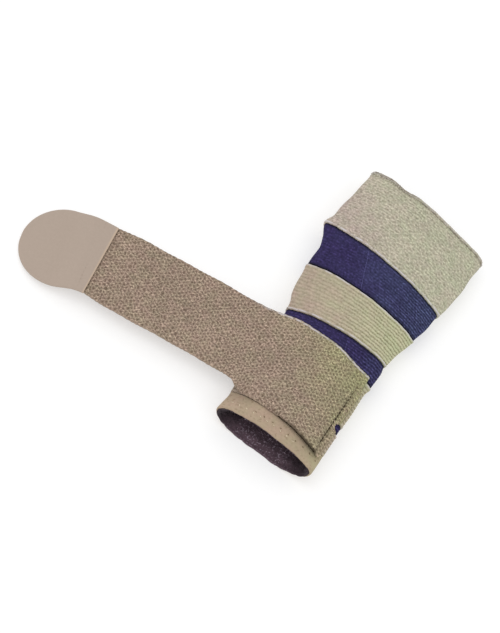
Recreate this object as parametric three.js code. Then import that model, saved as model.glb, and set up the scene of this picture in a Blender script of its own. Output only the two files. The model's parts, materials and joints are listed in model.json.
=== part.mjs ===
// Elastic hand and wrist brace, lying on a table: a knitted sleeve on its flattened back, lined at
// the wrist, with a wide strap sewn over the wrist part that lies out to the left and ends in a tab.
// Millimetres. X runs across the sleeve, Y along it from wrist to palm, and Z is up.
// The origin is the middle of the sleeve's flat underside.

import * as THREE from "three";

const { clamp, degToRad, lerp, smoothstep } = THREE.MathUtils;

// Colours of the knits
const BEIGE = 0xb5a78c;
const HEM_BEIGE = 0xa6947c;
const STRAP_BEIGE = 0x988676;
const TAB_BEIGE = 0xb2a295;
const NAVY = 0x3a355b;
const LINING_NAVY = 0x2c2434;

// Sleeve
const SIDES = 36; // facets round the sleeve
const GAP = 0.3; // clearance between pieces
const REST_AT = 100; // distance of the origin from the wrist edge
const TOP_POWER = 1.5; // the arch over the hand: 1 is a half ellipse, 2 a parabola
const FLOOR_POWER = 0.75; // the underside: smaller is squarer
const FLOOR_FILL = 1.08; // above 1 the middle of the underside lies flat
const FOLD_WALL = 1.6; // a side fold is this much thicker than the wall
const EDGE_DROP = 0.5; // a band's edges are rounded in by this much
const EDGE_ROUND = 1; // over this length
const RIB_DEPTH = 0.6; // grooves between raised ribs
const PRESSED_TO = 3; // ribs are pressed flat below this height
const RING_STEP = 11; // length of plain wall between rings

// The sleeve's outer form. at: distance from the wrist edge; left, right: reach from the centre line;
// leftFold, rightFold: height of the side folds; crown: height of the arch
const FORM = [
  { at: 0, left: 31.7, right: 32.8, leftFold: 13, rightFold: 14.8, crown: 23 },
  { at: 6, left: 30.9, right: 32.8, leftFold: 13, rightFold: 14.8, crown: 23 },
  { at: 12, left: 30.2, right: 32.8, leftFold: 13, rightFold: 14.8, crown: 23 },
  { at: 18, left: 30.6, right: 32.8, leftFold: 13, rightFold: 14.8, crown: 23 },
  { at: 26, left: 31.5, right: 32.8, leftFold: 13, rightFold: 14.8, crown: 23 },
  { at: 63, left: 31.6, right: 32.8, leftFold: 13, rightFold: 14.8, crown: 23 },
  { at: 70, left: 31.7, right: 33.1, leftFold: 13, rightFold: 14.8, crown: 23 },
  { at: 76, left: 31.9, right: 34.2, leftFold: 13, rightFold: 14.4, crown: 22.9 },
  { at: 82, left: 32.2, right: 34.6, leftFold: 13, rightFold: 14, crown: 22.8 },
  { at: 88, left: 33.2, right: 33.6, leftFold: 13, rightFold: 13.4, crown: 22.7 },
  { at: 93, left: 35.2, right: 34.2, leftFold: 13, rightFold: 13, crown: 22.6 },
  { at: 104, left: 37.3, right: 36.9, leftFold: 12.5, rightFold: 12.5, crown: 22.4 },
  { at: 114, left: 37.9, right: 39.2, leftFold: 12.5, rightFold: 12.5, crown: 22.2 },
  { at: 129, left: 38.2, right: 42.1, leftFold: 13, rightFold: 13, crown: 22.4 },
  { at: 139, left: 40.9, right: 43.8, leftFold: 13.5, rightFold: 13.5, crown: 22.8 },
  { at: 148, left: 44.8, right: 45.1, leftFold: 13.5, rightFold: 13.5, crown: 23 },
  { at: 156, left: 42.4, right: 46, leftFold: 13.5, rightFold: 13.5, crown: 23 },
  { at: 168, left: 41.1, right: 47, leftFold: 13.5, rightFold: 13.5, crown: 23 },
  { at: 188, left: 39.6, right: 48, leftFold: 13, rightFold: 13, crown: 22.6 },
  { at: 205, left: 37.8, right: 47.2, leftFold: 12.5, rightFold: 12.5, crown: 22 },
];

// Knitted bands from the wrist to the palm. to: where a band ends on the centre line; slant: how far
// that edge runs to the palm for each mm to the right; recess: how far its face lies below the form;
// wall: thickness; ribs: raised ribs round it
const BANDS = [
  { name: "wrist_hem", to: 14, slant: 0, recess: 0.2, wall: 1.8, ribs: 0, colour: HEM_BEIGE },
  { name: "wrist_rib_lower", to: 30.3, slant: 0, recess: 0, wall: 2.2, ribs: 7, colour: BEIGE },
  { name: "navy_stripe", to: 36.3, slant: 0, recess: 0.3, wall: 1.6, ribs: 0, colour: NAVY },
  { name: "wrist_rib_upper", to: 68, slant: 0.05, recess: 0, wall: 2.2, ribs: 13, colour: BEIGE },
  { name: "navy_band_lower", to: 84.6, slant: 0.12, recess: 0.3, wall: 1.6, ribs: 0, colour: NAVY },
  { name: "rib_band", to: 115.7, slant: 0, recess: 0, wall: 2.2, ribs: 13, colour: BEIGE },
  { name: "navy_band_upper", to: 143.4, slant: -0.075, recess: 0.3, wall: 1.6, ribs: 0, colour: NAVY },
  { name: "palm_cuff", to: 197.8, slant: -0.085, recess: 0, wall: 2.2, ribs: 0, colour: BEIGE },
];
const ROLLED_BAND = "palm_cuff"; // its last edge is rolled
const ROLL_PROUD = 0.3; // how far the roll stands out of the band's face
const ROLL_LENGTH = 2.2;
const ROLL_FLANK = 0.3; // share of that length on which it rises, and on which it falls

// Lining of the wrist part
const LINING_FROM = 0.6;
const LINING_TO = 74;
const LINING_DEPTH = 2.5; // its outer face below the form
const LINING_WALL = 1;

// Strap
const STRAP_WALL = 2.4;
const STRAP_SEAT = 0.5; // clearance over the ribs
const STRAP_LINE = 48; // its centre line from the wrist edge
const SEWN_END = 30; // its end on the right of the sleeve
const STRAP_LEAVES = 56; // lifts off the sleeve at this distance from the sewn end
const STRAP_LENGTH = 172.5;
const STRAP_STEP = 3.5; // length between sections
const GRADE_STEP = 0.5; // the slope is taken over this length each way

// The strap's line seen from above, from the sewn end to the tab's tip, turning towards the wrist
const STRAP_ARCS = [
  { length: 53.5, degrees: 0 },
  { length: 24, degrees: 8.7 },
  { length: 86.5, degrees: 0 },
  { length: 12, degrees: 7.5 },
  { length: 34.5, degrees: 0 },
];

// Height of the strap's underside where it bridges from the sleeve to the tip, at: from the sewn end
const STRAP_BRIDGE = [
  { at: 64.5, height: 14.6 },
  { at: 76.5, height: 12 },
  { at: 111.5, height: 10.8 },
  { at: 163.5, height: 9.2 },
  { at: 188.5, height: 5.2 },
  { at: 210.5, height: 0 },
];

// Strap edges. at: distance from the sewn end; near, far: reach towards the wrist and the palm
const STRAP_EDGES = [
  { at: 0, near: 39, far: 23.4 },
  { at: 9, near: 37.8, far: 23.5 },
  { at: 16, near: 37, far: 24.2 },
  { at: 24, near: 36.2, far: 25.2 },
  { at: 41, near: 35.1, far: 25.9 },
  { at: 53.5, near: 34.4, far: 26.5 },
  { at: 58.5, near: 33.3, far: 26.2 },
  { at: 61.5, near: 31.6, far: 25.9 },
  { at: 64.5, near: 29.4, far: 25.5 },
  { at: 67.5, near: 27.8, far: 25.2 },
  { at: 75.5, near: 26.5, far: 25.2 },
  { at: 91.5, near: 25.9, far: 26 },
  { at: 120, near: 25.3, far: 26.4 },
  { at: 148, near: 24.8, far: 26.2 },
  { at: 160, near: 23.8, far: 25.4 },
  { at: 173.5, near: 22.5, far: 23 },
];

// Hook tab, sewn on top of the strap's end
const TAB_FROM = 164; // distance of its root from the sewn end
const TAB_LENGTH = 46.5;
const TAB_ROUND = 24.5; // length of the rounded end
const TAB_NEAR = { root: 25.2, wide: 25.7 }; // its wrist side's reach at the root and before the rounded end
const TAB_FAR = { root: 24, wide: 26.2 }; // its palm side's
const TAB_WALL = 1.5;
const TAB_DOWN = 13; // length over which it comes down past the strap's end
const TAB_BODY_STEPS = 8;
const TAB_ROUND_STEPS = 12;
const TAB_TIP = 0.998; // share of the rounded end that is built, to leave a narrow blunt tip

// Smooth value of one column of a table, without overshoot between its rows
function sample(table, key, at) {
  const last = table.length - 1;
  const secant = (i) => (table[i + 1][key] - table[i][key]) / (table[i + 1].at - table[i].at);
  const tangent = (i) => {
    if (i === 0 || i === last) return secant(Math.min(i, last - 1));
    const product = secant(i - 1) * secant(i);
    return product <= 0 ? 0 : (2 * product) / (secant(i - 1) + secant(i));
  };
  let row = 0;
  while (row < last - 1 && table[row + 1].at <= at) row += 1;
  const span = table[row + 1].at - table[row].at;
  const t = clamp((at - table[row].at) / span, 0, 1);
  return hermite(table[row][key], span * tangent(row), table[row + 1][key], span * tangent(row + 1), t);
}

function hermite(start, startSlope, end, endSlope, t) {
  const blend = t * t * (3 - 2 * t);
  const rise = t * (1 - t) * (1 - t) * startSlope - t * t * (1 - t) * endSlope;
  return lerp(start, end, blend) + rise;
}

// A closed body over rows of points. Each row is a loop; the rows form a ring, or end in flat faces
function body(rows, ring) {
  const loop = rows[0].length;
  const index = [];
  const bands = ring ? rows.length : rows.length - 1;
  for (let i = 0; i < bands; i += 1) {
    for (let j = 0; j < loop; j += 1) {
      const a = i * loop + j;
      const b = i * loop + ((j + 1) % loop);
      const c = ((i + 1) % rows.length) * loop + j;
      const d = ((i + 1) % rows.length) * loop + ((j + 1) % loop);
      index.push(a, c, b, b, c, d);
    }
  }
  if (!ring) {
    const end = (rows.length - 1) * loop;
    for (let j = 1; j < loop - 1; j += 1) {
      index.push(0, j, j + 1);
      index.push(end, end + j + 1, end + j);
    }
  }
  const geometry = new THREE.BufferGeometry();
  geometry.setFromPoints(rows.flat());
  if (signedVolume(rows.flat(), index) < 0) index.reverse();
  geometry.setIndex(index);
  geometry.computeVertexNormals();
  return geometry;
}

function signedVolume(points, index) {
  let volume = 0;
  for (let i = 0; i < index.length; i += 3) {
    const [a, b, c] = [points[index[i]], points[index[i + 1]], points[index[i + 2]]];
    volume += a.dot(b.clone().cross(c)) / 6;
  }
  return volume;
}

function piece(name, geometry, colour) {
  const material = new THREE.MeshStandardMaterial({ color: colour, roughness: 0.95, metalness: 0 });
  const mesh = new THREE.Mesh(geometry, material);
  mesh.name = name;
  return mesh;
}

// A point of the sleeve's wall on a ring { at, slant }, some depth in from the outer form
function wallPoint(ring, angle, depth) {
  const across = Math.cos(angle);
  const side = across < 0 ? "left" : "right";
  const at = ring.at + ring.slant * across * sample(FORM, side, ring.at);
  const x = across * (sample(FORM, side, at) - FOLD_WALL * depth);
  const fold = sample(FORM, `${side}Fold`, at);
  const lift = Math.sin(angle);
  const arch = sample(FORM, "crown", at) - depth - fold;
  const sink = Math.min(FLOOR_FILL * Math.abs(lift) ** FLOOR_POWER, 1);
  const z = lift < 0 ? fold - (fold - depth) * sink : fold + arch * lift ** TOP_POWER;
  return new THREE.Vector3(x, ring.at + ring.slant * x, z);
}

// Ring-shaped wall between two edges { at, slant }, with stations { t, depth } on its outer face
function wall(from, to, stations, innerDepth, recess) {
  const between = (t) => ({ at: lerp(from.at, to.at, t), slant: lerp(from.slant, to.slant, t) });
  const innerSteps = Math.max(Math.round((to.at - from.at) / RING_STEP), 1);
  const rows = [];
  for (let k = 0; k < SIDES; k += 1) {
    const angle = (k / SIDES) * 2 * Math.PI;
    const height = wallPoint(from, angle, 0).z;
    const freely = smoothstep(height, 0, PRESSED_TO);
    const row = stations.map(({ t, depth }) => wallPoint(between(t), angle, lerp(recess, depth, freely)));
    for (let i = innerSteps; i >= 0; i -= 1) row.push(wallPoint(between(i / innerSteps), angle, innerDepth));
    rows.push(row);
  }
  return body(rows, true);
}

function ribStations(band) {
  const stations = [{ t: 0, depth: band.recess + EDGE_DROP }];
  for (let rib = 0; rib < band.ribs; rib += 1) {
    if (rib > 0) stations.push({ t: rib / band.ribs, depth: band.recess + RIB_DEPTH });
    stations.push({ t: (rib + 0.5) / band.ribs, depth: band.recess });
  }
  stations.push({ t: 1, depth: band.recess + EDGE_DROP });
  return stations;
}

function plainStations(band, length) {
  const round = EDGE_ROUND / length;
  const rolled = ROLL_LENGTH / length;
  const isRolled = band.name === ROLLED_BAND;
  const end = isRolled ? 1 - rolled - round : 1 - round;
  const steps = Math.max(Math.round((end * length) / RING_STEP), 1);
  const stations = [{ t: 0, depth: band.recess + EDGE_DROP }];
  for (let i = 0; i <= steps; i += 1) stations.push({ t: lerp(round, end, i / steps), depth: band.recess });
  if (isRolled) {
    stations.push({ t: 1 - rolled, depth: band.recess + EDGE_DROP });
    stations.push({ t: 1 - (1 - ROLL_FLANK) * rolled, depth: band.recess - ROLL_PROUD });
    stations.push({ t: 1 - ROLL_FLANK * rolled, depth: band.recess - ROLL_PROUD });
  }
  stations.push({ t: 1, depth: band.recess + EDGE_DROP });
  return stations;
}

function makeSleeve() {
  const sleeve = new THREE.Group();
  let edge = { at: -GAP / 2, slant: 0 };
  for (const band of BANDS) {
    const from = { at: edge.at + GAP / 2, slant: edge.slant };
    const to = { at: band.to - GAP / 2, slant: band.slant };
    const stations = band.ribs > 0 ? ribStations(band) : plainStations(band, to.at - from.at);
    const geometry = wall(from, to, stations, band.recess + band.wall, band.recess);
    sleeve.add(piece(band.name, geometry, band.colour));
    edge = { at: band.to, slant: band.slant };
  }
  return sleeve;
}

function makeLining() {
  const from = { at: LINING_FROM, slant: 0 };
  const to = { at: LINING_TO, slant: 0 };
  const steps = Math.round((LINING_TO - LINING_FROM) / RING_STEP);
  const stations = [];
  for (let i = 0; i <= steps; i += 1) stations.push({ t: i / steps, depth: LINING_DEPTH });
  const geometry = wall(from, to, stations, LINING_DEPTH + LINING_WALL, LINING_DEPTH);
  return piece("wrist_lining", geometry, LINING_NAVY);
}

// Height of the sleeve's arch under the strap, at some distance from the sewn end
function archHeight(at) {
  const wrist = FORM[0];
  const x = SEWN_END - at;
  const side = x < 0 ? "left" : "right";
  const share = x / wrist[side];
  return lerp(wrist[`${side}Fold`], wrist.crown, (1 - share * share) ** (TOP_POWER / 2));
}

// Height of the strap's underside: over the arch, then bridging to the tip
function strapHeight(at) {
  if (at <= STRAP_LEAVES) return archHeight(at) + STRAP_SEAT;
  const lift = { at: STRAP_LEAVES, height: archHeight(STRAP_LEAVES) + STRAP_SEAT };
  return sample([lift, ...STRAP_BRIDGE], "height", at);
}

// Height of the tab's underside: on the strap's end, then in line with the strap
function tabHeight(at) {
  const end = STRAP_LENGTH + GAP;
  return strapHeight(at) + (STRAP_WALL + GAP) * (1 - smoothstep(at, end, end + TAB_DOWN));
}

// Place and heading of the strap's line, at some distance from the sewn end
function strapLine(at) {
  const place = new THREE.Vector3(SEWN_END, STRAP_LINE, 0);
  let heading = 0;
  let rest = at;
  for (const { length, degrees } of STRAP_ARCS) {
    const run = Math.min(rest, length);
    const turn = (degToRad(degrees) * run) / length;
    const chord = turn > 0 ? (2 * run * Math.sin(turn / 2)) / turn : run;
    place.x -= chord * Math.cos(heading + turn / 2);
    place.y -= chord * Math.sin(heading + turn / 2);
    heading += turn;
    rest -= run;
  }
  return { place, heading };
}

// Loop of four corners across the strap's line, square to its slope
function bandSection(at, near, far, height, thickness) {
  const { place, heading } = strapLine(at);
  const forward = new THREE.Vector3(-Math.cos(heading), -Math.sin(heading), 0);
  const side = new THREE.Vector3(-Math.sin(heading), Math.cos(heading), 0);
  const grade = (height(at + GRADE_STEP) - height(at - GRADE_STEP)) / (2 * GRADE_STEP);
  const up = new THREE.Vector3(0, 0, 1).addScaledVector(forward, -grade).normalize();
  place.z = height(at);
  const corner = (reach, raised) => place.clone().addScaledVector(side, reach).addScaledVector(up, raised);
  return [corner(-near, 0), corner(far, 0), corner(far, thickness), corner(-near, thickness)];
}

function makeStrap() {
  const steps = Math.round(STRAP_LENGTH / STRAP_STEP);
  const rows = [];
  for (let i = 0; i <= steps; i += 1) {
    const at = (i / steps) * STRAP_LENGTH;
    const near = sample(STRAP_EDGES, "near", at);
    const far = sample(STRAP_EDGES, "far", at);
    rows.push(bandSection(at, near, far, strapHeight, STRAP_WALL));
  }
  return piece("strap", body(rows, false), STRAP_BEIGE);
}

function makeTab() {
  const straight = TAB_LENGTH - TAB_ROUND;
  const rows = [];
  for (let i = 0; i < TAB_BODY_STEPS; i += 1) {
    const along = (i / TAB_BODY_STEPS) * straight;
    const reach = ({ root, wide }) => lerp(root, wide, smoothstep(along, 0, straight));
    rows.push(bandSection(TAB_FROM + along, reach(TAB_NEAR), reach(TAB_FAR), tabHeight, TAB_WALL));
  }
  for (let i = 0; i <= TAB_ROUND_STEPS; i += 1) {
    const share = TAB_TIP * Math.sin((i / TAB_ROUND_STEPS) * (Math.PI / 2));
    const at = TAB_FROM + straight + share * TAB_ROUND;
    const reach = ({ wide }) => wide * Math.sqrt(1 - share * share);
    rows.push(bandSection(at, reach(TAB_NEAR), reach(TAB_FAR), tabHeight, TAB_WALL));
  }
  return piece("hook_tab", body(rows, false), TAB_BEIGE);
}

const brace = new THREE.Group();
brace.add(makeSleeve(), makeLining(), makeStrap(), makeTab());
brace.position.y = -REST_AT;

export default brace;
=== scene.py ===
"""Looks of a knitted hand and wrist brace with a loop-faced strap, made over its packed solids."""

import json
import math
from collections import namedtuple

import bpy
import numpy as np
from bpy.props import FloatProperty, FloatVectorProperty, PointerProperty
from bpy.types import Operator, Panel, PropertyGroup
from mathutils import Matrix, Vector

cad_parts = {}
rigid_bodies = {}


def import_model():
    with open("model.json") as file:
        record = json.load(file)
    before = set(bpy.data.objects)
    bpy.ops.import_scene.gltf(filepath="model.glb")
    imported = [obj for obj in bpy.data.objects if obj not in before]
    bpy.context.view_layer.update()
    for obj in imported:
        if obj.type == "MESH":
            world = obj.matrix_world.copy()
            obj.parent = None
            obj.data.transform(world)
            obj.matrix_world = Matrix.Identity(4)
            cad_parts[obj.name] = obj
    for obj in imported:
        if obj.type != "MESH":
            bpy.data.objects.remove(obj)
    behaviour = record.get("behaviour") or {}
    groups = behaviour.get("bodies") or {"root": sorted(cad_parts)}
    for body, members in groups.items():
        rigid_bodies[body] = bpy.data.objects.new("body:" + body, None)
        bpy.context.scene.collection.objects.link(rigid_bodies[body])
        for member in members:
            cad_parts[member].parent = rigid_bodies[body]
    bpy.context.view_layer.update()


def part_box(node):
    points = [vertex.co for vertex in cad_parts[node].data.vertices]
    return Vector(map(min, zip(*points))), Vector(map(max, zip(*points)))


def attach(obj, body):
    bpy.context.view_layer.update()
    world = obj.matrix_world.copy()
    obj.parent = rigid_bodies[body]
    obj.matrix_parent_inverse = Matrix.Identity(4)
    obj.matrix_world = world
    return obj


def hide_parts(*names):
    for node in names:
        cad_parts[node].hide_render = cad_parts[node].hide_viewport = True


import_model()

bl_info = {
    "name": "Hand brace",
    "version": (1, 0, 0),
    "blender": (4, 5, 0),
    "location": "View3D > Sidebar > Hand brace",
    "description": "Knitted hand and wrist brace with a strap and a hook tab",
    "category": "Object",
}

BODY = "root"
MM = 0.001
WRIST_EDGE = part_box("wrist_hem")[0].y  # where the sleeve starts in the frame

# The sleeve's form in millimetres from its wrist edge. at: place along it; left, right: reach from
# the centre line; left_fold, right_fold: height of the side folds; crown: height of the arch
Section = namedtuple("Section", "at left right left_fold right_fold crown")
FORM = (
    Section(0, 31.7, 32.8, 13, 14.8, 23),
    Section(6, 30.9, 32.8, 13, 14.8, 23),
    Section(12, 30.2, 32.8, 13, 14.8, 23),
    Section(18, 30.6, 32.8, 13, 14.8, 23),
    Section(26, 31.5, 32.8, 13, 14.8, 23),
    Section(63, 31.6, 32.8, 13, 14.8, 23),
    Section(70, 31.7, 34, 13, 14.8, 23),
    Section(82, 32.2, 34.6, 13, 14, 22.8),
    Section(88, 33.2, 33.6, 13, 13.4, 22.7),
    Section(93, 35.2, 34.2, 13, 13, 22.6),
    Section(104, 37.3, 36.9, 12.5, 12.5, 22.4),
    Section(114, 37.9, 39.2, 12.5, 12.5, 22.2),
    Section(129, 38.2, 42.1, 13, 13, 22.4),
    Section(139, 40.9, 43.8, 13.5, 13.5, 22.8),
    Section(148, 44.8, 45.1, 13.5, 13.5, 23),
    Section(156, 42.4, 46, 13.5, 13.5, 23),
    Section(168, 41.1, 47, 13.5, 13.5, 23),
    Section(188, 39.6, 48, 13, 13, 22.6),
    Section(205, 37.8, 47.2, 12.5, 12.5, 22),
)
TOP_POWER = 1.5  # roundness of the arch
FLOOR_POWER = 0.75  # squareness of the underside
FLOOR_FILL = 1.08  # above 1 the middle of the underside lies flat
FOLD_WALL = 1.6  # a side fold is this much thicker than the wall
PRESSED_TO = 3.0  # knit relief is pressed flat below this height
SMOOTH = 0.6  # relief that a smooth cloth stands for
INSIDE_FACE = 0.6  # how much of its knit a band shows on its inside

# Knitted bands from wrist to palm. to: end on the centre line; slant: how far that edge runs to the
# palm for each mm to the right; recess: face below the form; wall: thickness; ribs: raised ribs;
# knit: which settings it takes; slot: the record's finish; pale: edges with a pale thread
Band = namedtuple("Band", "name to slant recess wall ribs knit slot pale")
BANDS = (
    Band("wrist_hem", 14, 0, 0.2, 1.8, 0, "hem", "hem_knit", (0, 0)),
    Band("wrist_rib_lower", 30.3, 0, 0, 2.2, 7, "rib", "beige_rib", (0, 1)),
    Band("navy_stripe", 36.3, 0, 0.3, 1.6, 0, "navy", "navy_knit", (0, 0)),
    Band("wrist_rib_upper", 68, 0.05, 0, 2.2, 13, "rib", "beige_rib", (1, 1)),
    Band("navy_band_lower", 84.6, 0.12, 0.3, 1.6, 0, "navy", "navy_knit", (0, 0)),
    Band("rib_band", 115.7, 0, 0, 2.2, 13, "rib", "beige_rib", (1, 1)),
    Band("navy_band_upper", 143.4, -0.075, 0.3, 1.6, 0, "navy", "navy_knit", (0, 0)),
    Band("palm_cuff", 197.8, -0.085, 0, 2.2, 0, "cuff", "cuff_knit", (1, 0)),
)
NAVY_RECESS = 0.3
SEAM = 0.16  # gap between bands
EDGE_DROP = 0.5  # a band's edge is rounded in by this much
EDGE_ROUND = 1.0  # over this length
BEAD_PROUD = 0.22  # pale edge thread above the face
BEAD_LENGTH = 1.4
ROLL_PROUD = 0.3  # the palm edge's roll
ROLL_LENGTH = 2.2
ALONG_STEP = 0.3  # mesh spacing along the outer face
AROUND_STEP = 0.5
INNER_STEP = 1.5
LIP_STEPS = 3
HEM_BOW = 1.1  # how far the wrist edge lies back over the hand
HEM_LIP = 0.6  # thickness of the hem at its very edge
HEM_TAPER = 5.0  # length on which it reaches its full thickness
CUFF_CORNER = 2.6  # rounding of the cuff's left corner
PALM_PULL = 0.5  # how far the palm edge lies back
PALM_FOLD_PULL = 1.3  # how much further at the side folds
PALM_PULL_LENGTH = 12.0  # length of the cuff that follows

# Dips of the palm edge, and corners that stand out. across: place from -1 at the left to 1 at the right
Dip = namedtuple("Dip", "depth across half")
PALM_DIPS = (Dip(2.0, -0.42, 0.16), Dip(0.8, 0.35, 0.35))
PALM_CORNERS = (Dip(0.9, 0.93, 0.12), Dip(0.8, -1, 0.3))

# Lining of the wrist part, turned out over the wrist edge
LINING_TO = 74.0
LINING_DEPTH = 2.5
LINING_WALL = 1.0
LINING_STEP = 0.9
LINING_BACK_STEP = 3.0  # mesh spacing on its hidden side
PILE_TO = 42.0  # how far in its loops stand up
PILE_FROM = 0.5  # they start this far from the wrist edge
PILE_DEPTH = 2.2  # and deeper than this below the form
LUMP_DEPTH = 2.9  # below this depth the terry is lumpy
TURNED_OUT = 0.3  # how far the turned lining lies before the wrist edge

# Strap, measured from its sewn end
STRAP_WALL = 2.4
STRAP_SEAT = 0.5
STRAP_LINE = 48.0  # its centre line from the wrist edge
SEWN_END = 30.0  # its end on the right of the sleeve
STRAP_LEAVES = 56.0
STRAP_LENGTH = 172.5
STRAP_STEP = 0.55
GRADE_STEP = 0.5
EDGE_PLACES = np.array((0, 0.12, 0.3, 0.55, 0.85))  # mesh lines beside an edge
EDGE_INSET = 1.2  # where the even mesh lines start
MEAN_WIDTH = 54  # width that the mesh lines across it are spaced for
GAP = 0.3
Arc = namedtuple("Arc", "length degrees")
STRAP_ARCS = (Arc(53.5, 0), Arc(24, 8.7), Arc(86.5, 0), Arc(12, 7.5), Arc(34.5, 0))
Height = namedtuple("Height", "at height")
STRAP_BRIDGE = (
    Height(64.5, 14.6),
    Height(76.5, 12),
    Height(111.5, 10.8),
    Height(163.5, 9.2),
    Height(188.5, 5.2),
    Height(210.5, 0),
)
Edges = namedtuple("Edges", "at near far")
STRAP_EDGES = (
    Edges(0, 39, 23.4),
    Edges(9, 37.8, 23.5),
    Edges(16, 37, 24.2),
    Edges(24, 36.2, 25.2),
    Edges(41, 35.1, 25.9),
    Edges(53.5, 34.4, 26.5),
    Edges(58.5, 33.3, 26.2),
    Edges(61.5, 31.6, 25.9),
    Edges(64.5, 29.4, 25.5),
    Edges(67.5, 27.8, 25.2),
    Edges(75.5, 26.5, 25.2),
    Edges(91.5, 25.9, 26),
    Edges(120, 25.3, 26.4),
    Edges(148, 24.8, 26.2),
    Edges(160, 23.8, 25.4),
    Edges(173.5, 22.5, 23),
)
SEWN_LINE = 4.6  # where it is sewn down
STRAP_EDGE_DROP = 1.1  # its top is rounded in by this much at its edges
STRAP_END_DROP = 0.9  # and at its ends
STRAP_UNDER_RISE = 0.7  # its underside is rounded up by this much at its edges
SETTLED_DROP = 1.3  # its near edge sinks by this much where it settles on the sleeve
SETTLED_UNDER = -0.55  # height of its underside there
CORNER_LIFT = 0.9  # how far its near corner stands up
FAR_LIFT = 0.8  # how far its far corner stands up
SEAM_DROP = 0.5  # depth of the line where it is sewn down

# Lengths of the strap's near edge, in distance from the sewn end. Each eases in and out
Span = namedtuple("Span", "start full fall end")
CORNER_UP = Span(1.5, 4.5, 8, 46)  # it stands off the hem
SETTLED = Span(14, 40, 58, 66)  # it has settled on the sleeve
SOFT = Span(18, 52, 62, 74)  # it is rounder
TICKED = Span(26, 36, 58, 64)  # it has dark ticks
NOTCH_DEPTH = 2.6  # its sewn end is drawn in here, so that the navy stripe shows
NOTCH_HALF = 2.6
NOTCH_REACH = -15.8
CORNER_DEPTH = 1.7  # how far its palm side corner is drawn in

# Hook tab on the strap's end
TAB_FROM = 164.0
TAB_LENGTH = 46.5
TAB_ROUND = 24.5
TabSide = namedtuple("TabSide", "root wide")
TAB_NEAR = TabSide(25.2, 25.7)
TAB_FAR = TabSide(24, 26.2)
TAB_WALL = 1.5
TAB_DOWN = 13.0
TAB_TIP = 0.998
TAB_STEP = 0.6

# Rows of stitches. sewn_in: their piece; slot: the record's finish; pitch, span, rise, thickness: in
# millimetres; turn: degrees from the row; stray: radians by which single stitches turn; seed: of those
Stitches = namedtuple(
    "Stitches", "sewn_in slot thread pitch span rise turn stray thickness seed", defaults=(1,)
)
STITCHES = {
    "palm_edge_stitches": Stitches("palm_cuff", "cuff_knit", "brown_thread", 2.3, 1.7, 0.1, 0, 0.1, 0.32),
    "palm_edge_loops": Stitches("palm_cuff", "cuff_knit", "cuff_thread", 1.6, 1.5, 0.08, 62, 0.3, 0.36),
    "palm_edge_fuzz": Stitches("palm_cuff", "cuff_knit", "brown_thread", 1, 1.3, 0.15, 40, 1.2, 0.26, 7),
    "hem_stitches": Stitches("wrist_hem", "hem_knit", "hem_thread", 4.1, 1, 0.08, 20, 0.9, 0.55, 2),
    "hem_needle_marks": Stitches("wrist_hem", "hem_knit", "brown_thread", 5.3, 0.9, 0.05, 0, 0.8, 0.45, 3),
    "strap_end_stitches": Stitches("strap", "strap_loop", "dark_thread", 2.4, 2, 0.2, 0, 0.15, 0.7),
    # a dark cord that stands in for the shadow under the strap's lifted near edge
    "strap_edge_cord": Stitches("strap", "strap_loop", "dark_thread", 1.5, 1.9, 0.1, 0, 0.05, 0.8),
    "strap_end_sunk_stitches": Stitches("strap", "strap_loop", "strap_thread", 2.4, 1.8, 0.1, 0, 0.2, 0.5),
    "strap_end_overlock": Stitches("strap", "strap_loop", "overlock_thread", 2.3, 3, 0.2, 65, 0.2, 0.6, 4),
    "strap_fold_stitches": Stitches("strap", "strap_loop", "strap_thread", 2.2, 1.5, 0.1, 0, 0.2, 0.4),
    "tab_stitches": Stitches("tab", "tab_felt", "tab_thread", 2.4, 1.6, 0.02, 0, 0.05, 0.3),
    "upper_navy_thread": Stitches(
        "navy_band_upper", "navy_knit", "grey_thread", 1.5, 1.35, 0.05, 0, 0.2, 0.3, 5
    ),
    "lower_navy_thread": Stitches(
        "navy_band_lower", "navy_knit", "grey_thread", 1.8, 1.2, 0.02, 0, 0.2, 0.26, 6
    ),
}

# The photograph's view, and its light and floor
TARGET = Vector((-0.04663, -0.0302, 0))
DISTANCE = 1.1
ELEVATION = math.radians(57)
ROLL = math.radians(36.5)
LENS = 107.86
SENSOR = 36.0
KEY_PLACE = (-0.55, -0.35, 1.35)  # of the soft light
KEY_SIZE = 1.2
FLOOR_HALF = 30.0


def srgb(red, green, blue):
    """Linear colour of display values from 0 to 255."""
    return tuple((value / 255 / 12.92) if value < 10.3 else ((value / 255 + 0.055) / 1.055) ** 2.4
                 for value in (red, green, blue))


def length(name, description, millimetres):
    return FloatProperty(
        name=name, description=description, default=millimetres * MM, min=0, unit="LENGTH", precision=5
    )


def share(name, description, default):
    return FloatProperty(name=name, description=description, default=default, min=0, max=1, subtype="FACTOR")


def colour(name, description, *display):
    return FloatVectorProperty(
        name=name, description=description, default=srgb(*display), min=0, max=1, subtype="COLOR"
    )


def number(name, description, default):
    return FloatProperty(name=name, description=description, default=default, min=0)


def knit(course, wale, depth, stitches, pebble, jitter, wobble, sharpness, crest, groove):
    """Settings of a knit, with lengths in millimetres and colours as display values."""
    return {
        "course": length("Row pitch", "Distance between rows, where a band doesn't count its ribs", course),
        "wale": length("Stitch pitch", "Distance between stitches along a row", wale),
        "depth": length("Depth", "Depth of the grooves and pits", depth),
        "stitches": share("Stitches", "How much single stitches break up a groove", stitches),
        "pebble": share("Pebbles", "How far rounded pebbles take the place of grooves", pebble),
        "jitter": share("Unevenness", "How much stitches differ", jitter),
        "wobble": number("Wobble", "How far stitches stray from their rows", wobble),
        "sharpness": number("Sharpness", "How narrow the grooves are", sharpness),
        "crest": colour("Crest", "Colour on top of the yarn", *crest),
        # the groove colour is painted shade between the yarns
        "groove": colour("Groove", "Colour between the yarns", *groove),
    }


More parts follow.
